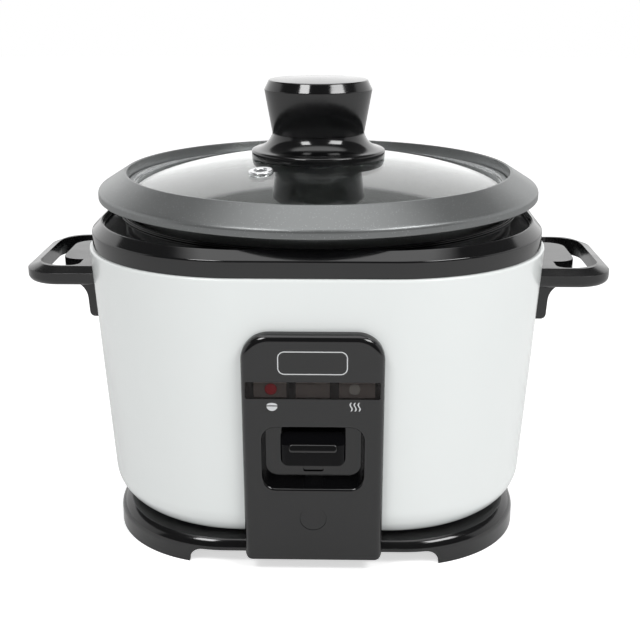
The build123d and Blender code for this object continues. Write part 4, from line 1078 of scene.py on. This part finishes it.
non_stick = speckled("non_stick_coat", "#747676", "#7c7e7e", "#aeb0b0", rough_low=0.32, rough_high=0.40)
dress(pot, non_stick, "pot", "non_stick", "inner_pot")

# Lid: a dome of tempered glass, clear and sharply mirroring, in a rolled band of bright steel with a softer
# shine. A steel eyelet in the glass lets the steam out.
glass = grained("tempered_glass", "#f4f8f6", "#f8fbfa", grain=0.05, rough=(0.0, 0.01),
                bump_strength=0.0, IOR=1.5, Transmission_Weight=1.0)
bright_steel = grained("bright_steel", "#dcdedf", "#e6e7e8", grain=0.004, rough=(0.16, 0.26),
                       bump_strength=0.01, Metallic=0.8)
paint(glass, "lid_glass")
paint(bright_steel, "lid_rim", "steam_vent")

# Lid knob: a flared black skirt on the glass and a turned grip on it, moulded in black ABS. One screw holds
# them from under the glass, on a dull black rubber washer.
skirt_low, skirt_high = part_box("knob_skirt")
skirt_r = skirt_high.x
skirt_wall = 0.0024
skirt_in_r = skirt_r - skirt_wall
skirt_edge_h = 0.0036
skirt_edge_z = skirt_low.z + skirt_edge_h
skirt_foot_r = 0.0006
skirt_edge_r = 0.0011
edge_over = 0.0001
screw_r = 0.0026
crown_t = 0.005
crown_wall = 0.004
neck_r = 0.0225
neck_z = skirt_high.z
flare_steps = 16
flare_lift = 0.0006
flare_sag = 0.0018
flare_lean = 0.72
flare_z = skirt_edge_z + flare_lift
flare_r = skirt_r - skirt_edge_r
flare = []
for at in range(flare_steps + 1):
    part = at / flare_steps
    dip = flare_lean * 4 * flare_sag * part * (1 - part)
    flare.append((flare_r + (neck_r - flare_r) * part - dip, flare_z + (neck_z - flare_z) * part - dip, 0))
skirt_section = [
    (skirt_in_r, skirt_low.z, 0),
    (skirt_r, skirt_low.z, skirt_foot_r),
    (skirt_r, skirt_edge_z + edge_over, skirt_edge_r),
] + flare + [
    (screw_r, neck_z, 0),
    (screw_r, neck_z - crown_t, 0),
    (neck_r - crown_wall, neck_z - crown_t, 0),
    (skirt_in_r, skirt_edge_z - skirt_wall, 0),
]
skirt = turned("knob_flare", rounded_profile(skirt_section, 5))
soften(skirt, 0, sharp_deg=45)
dress(skirt, black_abs, "lid", "black_plastic", "knob_skirt")
grip_low, grip_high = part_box("knob_grip")
grip_r = grip_high.x
grip_foot_r = 0.0005
grip_edge_r = 0.0009
bevel_in = 0.0022
bevel_drop = 0.0044
dome_rise = 0.0008
dome_r = grip_r - bevel_in
dome_z = grip_high.z - dome_rise
dome = [(dome_r * share, dome_z + dome_rise * (1 - share ** 2), 0) for share in (0.8, 0.6, 0.4, 0.2, 0)]
grip_section = [
    (0, grip_low.z, 0),
    (neck_r, grip_low.z, grip_foot_r),
    (grip_r, dome_z - bevel_drop, grip_edge_r),
    (dome_r, dome_z, grip_edge_r),
] + dome
grip = turned("knob_top", rounded_profile(grip_section, 6))
soften(grip, 0, sharp_deg=45)
dress(grip, black_abs, "lid", "black_plastic", "knob_grip")
rubber = grained("black_rubber", "#141415", "#1d1d1e", grain=0.0008, rough=(0.55, 0.7))
paint(zinc_steel, "knob_screw")
paint(rubber, "knob_washer")

# Floor: a plain white sheet, which takes the contact shadow. Where the camera or the glass sees it, it is
# lifted to white, and in mirrors it is lifted a little.
floor_size = 6
seen_lift = 0.6
mirror_lift = 0.12
bpy.ops.object.select_all(action="DESELECT")
bpy.ops.mesh.primitive_plane_add(size=floor_size, location=(0, 0, 0))
floor = bpy.context.object
floor.name = "floor"
floor_finish, floor_tree, floor_shader = new_finish(
    "white_sheet", Base_Color=linear("#eeeeee"), Roughness=0.9, Specular_IOR_Level=0.0,
    Emission_Color=linear("#ffffff"))
floor_rays = add_node(floor_tree, "ShaderNodeLightPath")
floor_seen = add_node(floor_tree, "ShaderNodeMath", {
    0: floor_rays.outputs["Is Camera Ray"], 1: floor_rays.outputs["Is Transmission Ray"]},
    operation="MAXIMUM")
floor_lift = add_node(floor_tree, "ShaderNodeMath", {
    0: floor_seen.outputs["Value"], 1: seen_lift}, operation="MULTIPLY")
floor_glow = add_node(floor_tree, "ShaderNodeMath", {
    0: floor_rays.outputs["Is Glossy Ray"], 1: mirror_lift, 2: floor_lift.outputs["Value"]},
    operation="MULTIPLY_ADD")
feed(floor_tree, floor_shader, Emission_Strength=floor_glow.outputs["Value"])
floor.data.materials.append(floor_finish)

# Light: two soft boxes above the camera in a white studio. In mirrors the studio is bright low down at the
# sides and behind, and overhead. It is dark in front and between about 30 and 57 degrees up, which gives the
# black mouldings and the glass their contrast.


def softbox(name, power, size, location, aim):
    """Area light that looks at a point."""
    bpy.ops.object.select_all(action="DESELECT")
    turn = (Vector(aim) - Vector(location)).to_track_quat("-Z", "Y").to_euler()
    bpy.ops.object.light_add(type="AREA", location=location, rotation=turn)
    lamp = bpy.context.object
    lamp.name = name
    lamp.data.shape = "RECTANGLE"
    lamp.data.size, lamp.data.size_y = size
    lamp.data.energy = power


part_middle = (0, 0, 0.12)
softbox("left_box", power=5.0, size=(0.36, 0.30), location=(-0.50, -0.72, 1.02), aim=part_middle)
softbox("right_box", power=7.6, size=(0.60, 0.32), location=(0.76, -0.64, 1.00), aim=part_middle)
world = bpy.data.worlds.new("studio")
bpy.context.scene.world = world
world.use_nodes = True
sky = world.node_tree
backdrop = sky.nodes["Background"]
rays = add_node(sky, "ShaderNodeLightPath")
sky_place = add_node(sky, "ShaderNodeTexCoord")
heading = add_node(sky, "ShaderNodeSeparateXYZ", {0: sky_place.outputs["Generated"]})
low_sky = add_node(sky, "ShaderNodeMapRange", {
    "Value": heading.outputs["Z"], "From Min": 0.485, "From Max": 0.515, "To Min": 1.0, "To Max": 0.0})
past_front = add_node(sky, "ShaderNodeMapRange", {
    "Value": heading.outputs["Y"], "From Min": -0.32, "From Max": -0.22, "To Min": 0.0, "To Max": 1.0})
wall_tone = add_node(sky, "ShaderNodeMapRange", {
    "Value": heading.outputs["Y"], "From Min": -0.1, "From Max": 0.8, "To Min": 0.7, "To Max": 1.25})
overhead = add_node(sky, "ShaderNodeMapRange", {
    "Value": heading.outputs["Z"], "From Min": 0.84, "From Max": 0.92, "To Min": 0.12, "To Max": 2.2})
fill = add_node(sky, "ShaderNodeMapRange", {
    "Value": heading.outputs["X"], "From Min": -1.0, "From Max": 1.0, "To Min": 0.40, "To Max": 0.58})
low_wall = add_node(sky, "ShaderNodeMath", {
    0: low_sky.outputs["Result"], 1: past_front.outputs["Result"]}, operation="MULTIPLY")
mirrored = add_node(sky, "ShaderNodeMath", {
    0: low_wall.outputs["Value"], 1: wall_tone.outputs["Result"], 2: overhead.outputs["Result"]},
    operation="MULTIPLY_ADD")
# A mix node's sockets for plain numbers.
number_from, number_to, number_result = 2, 3, 0
white = 1.0
unseen = add_node(sky, "ShaderNodeMix", {
    mix_part: rays.outputs["Is Glossy Ray"], number_from: fill.outputs["Result"],
    number_to: mirrored.outputs["Value"]}, data_type="FLOAT")
# Through the glass the camera sees the same white, but what lies under the glass is not lit by it.
no_bounce = add_node(sky, "ShaderNodeMath", {0: 1.0, 1: rays.outputs["Diffuse Depth"]},
                     operation="SUBTRACT", use_clamp=True)
through = add_node(sky, "ShaderNodeMath", {
    0: rays.outputs["Is Transmission Ray"], 1: no_bounce.outputs["Value"]}, operation="MULTIPLY")
seen = add_node(sky, "ShaderNodeMath", {
    0: rays.outputs["Is Camera Ray"], 1: through.outputs["Value"]}, operation="MAXIMUM")
tone = add_node(sky, "ShaderNodeMix", {
    mix_part: seen.outputs["Value"], number_from: unseen.outputs[number_result], number_to: white},
    data_type="FLOAT")
feed(sky, backdrop, Color=tone.outputs[number_result])
backdrop.inputs["Strength"].default_value = 1.0

# Camera: the photo's own angle, from above the front and a little to the right, with a lens that fills the
# frame with the part.
eye = Vector((0.0125, -0.5499, 0.2585))
look_at = Vector((0.0008, 0, 0.0867))
bpy.ops.object.camera_add(location=eye, rotation=(look_at - eye).to_track_quat("-Z", "Y").to_euler())
camera = bpy.context.object
camera.data.lens = 62.96
camera.data.sensor_width = 36
bpy.context.scene.camera = camera
bpy.context.scene.view_settings.view_transform = "Standard"
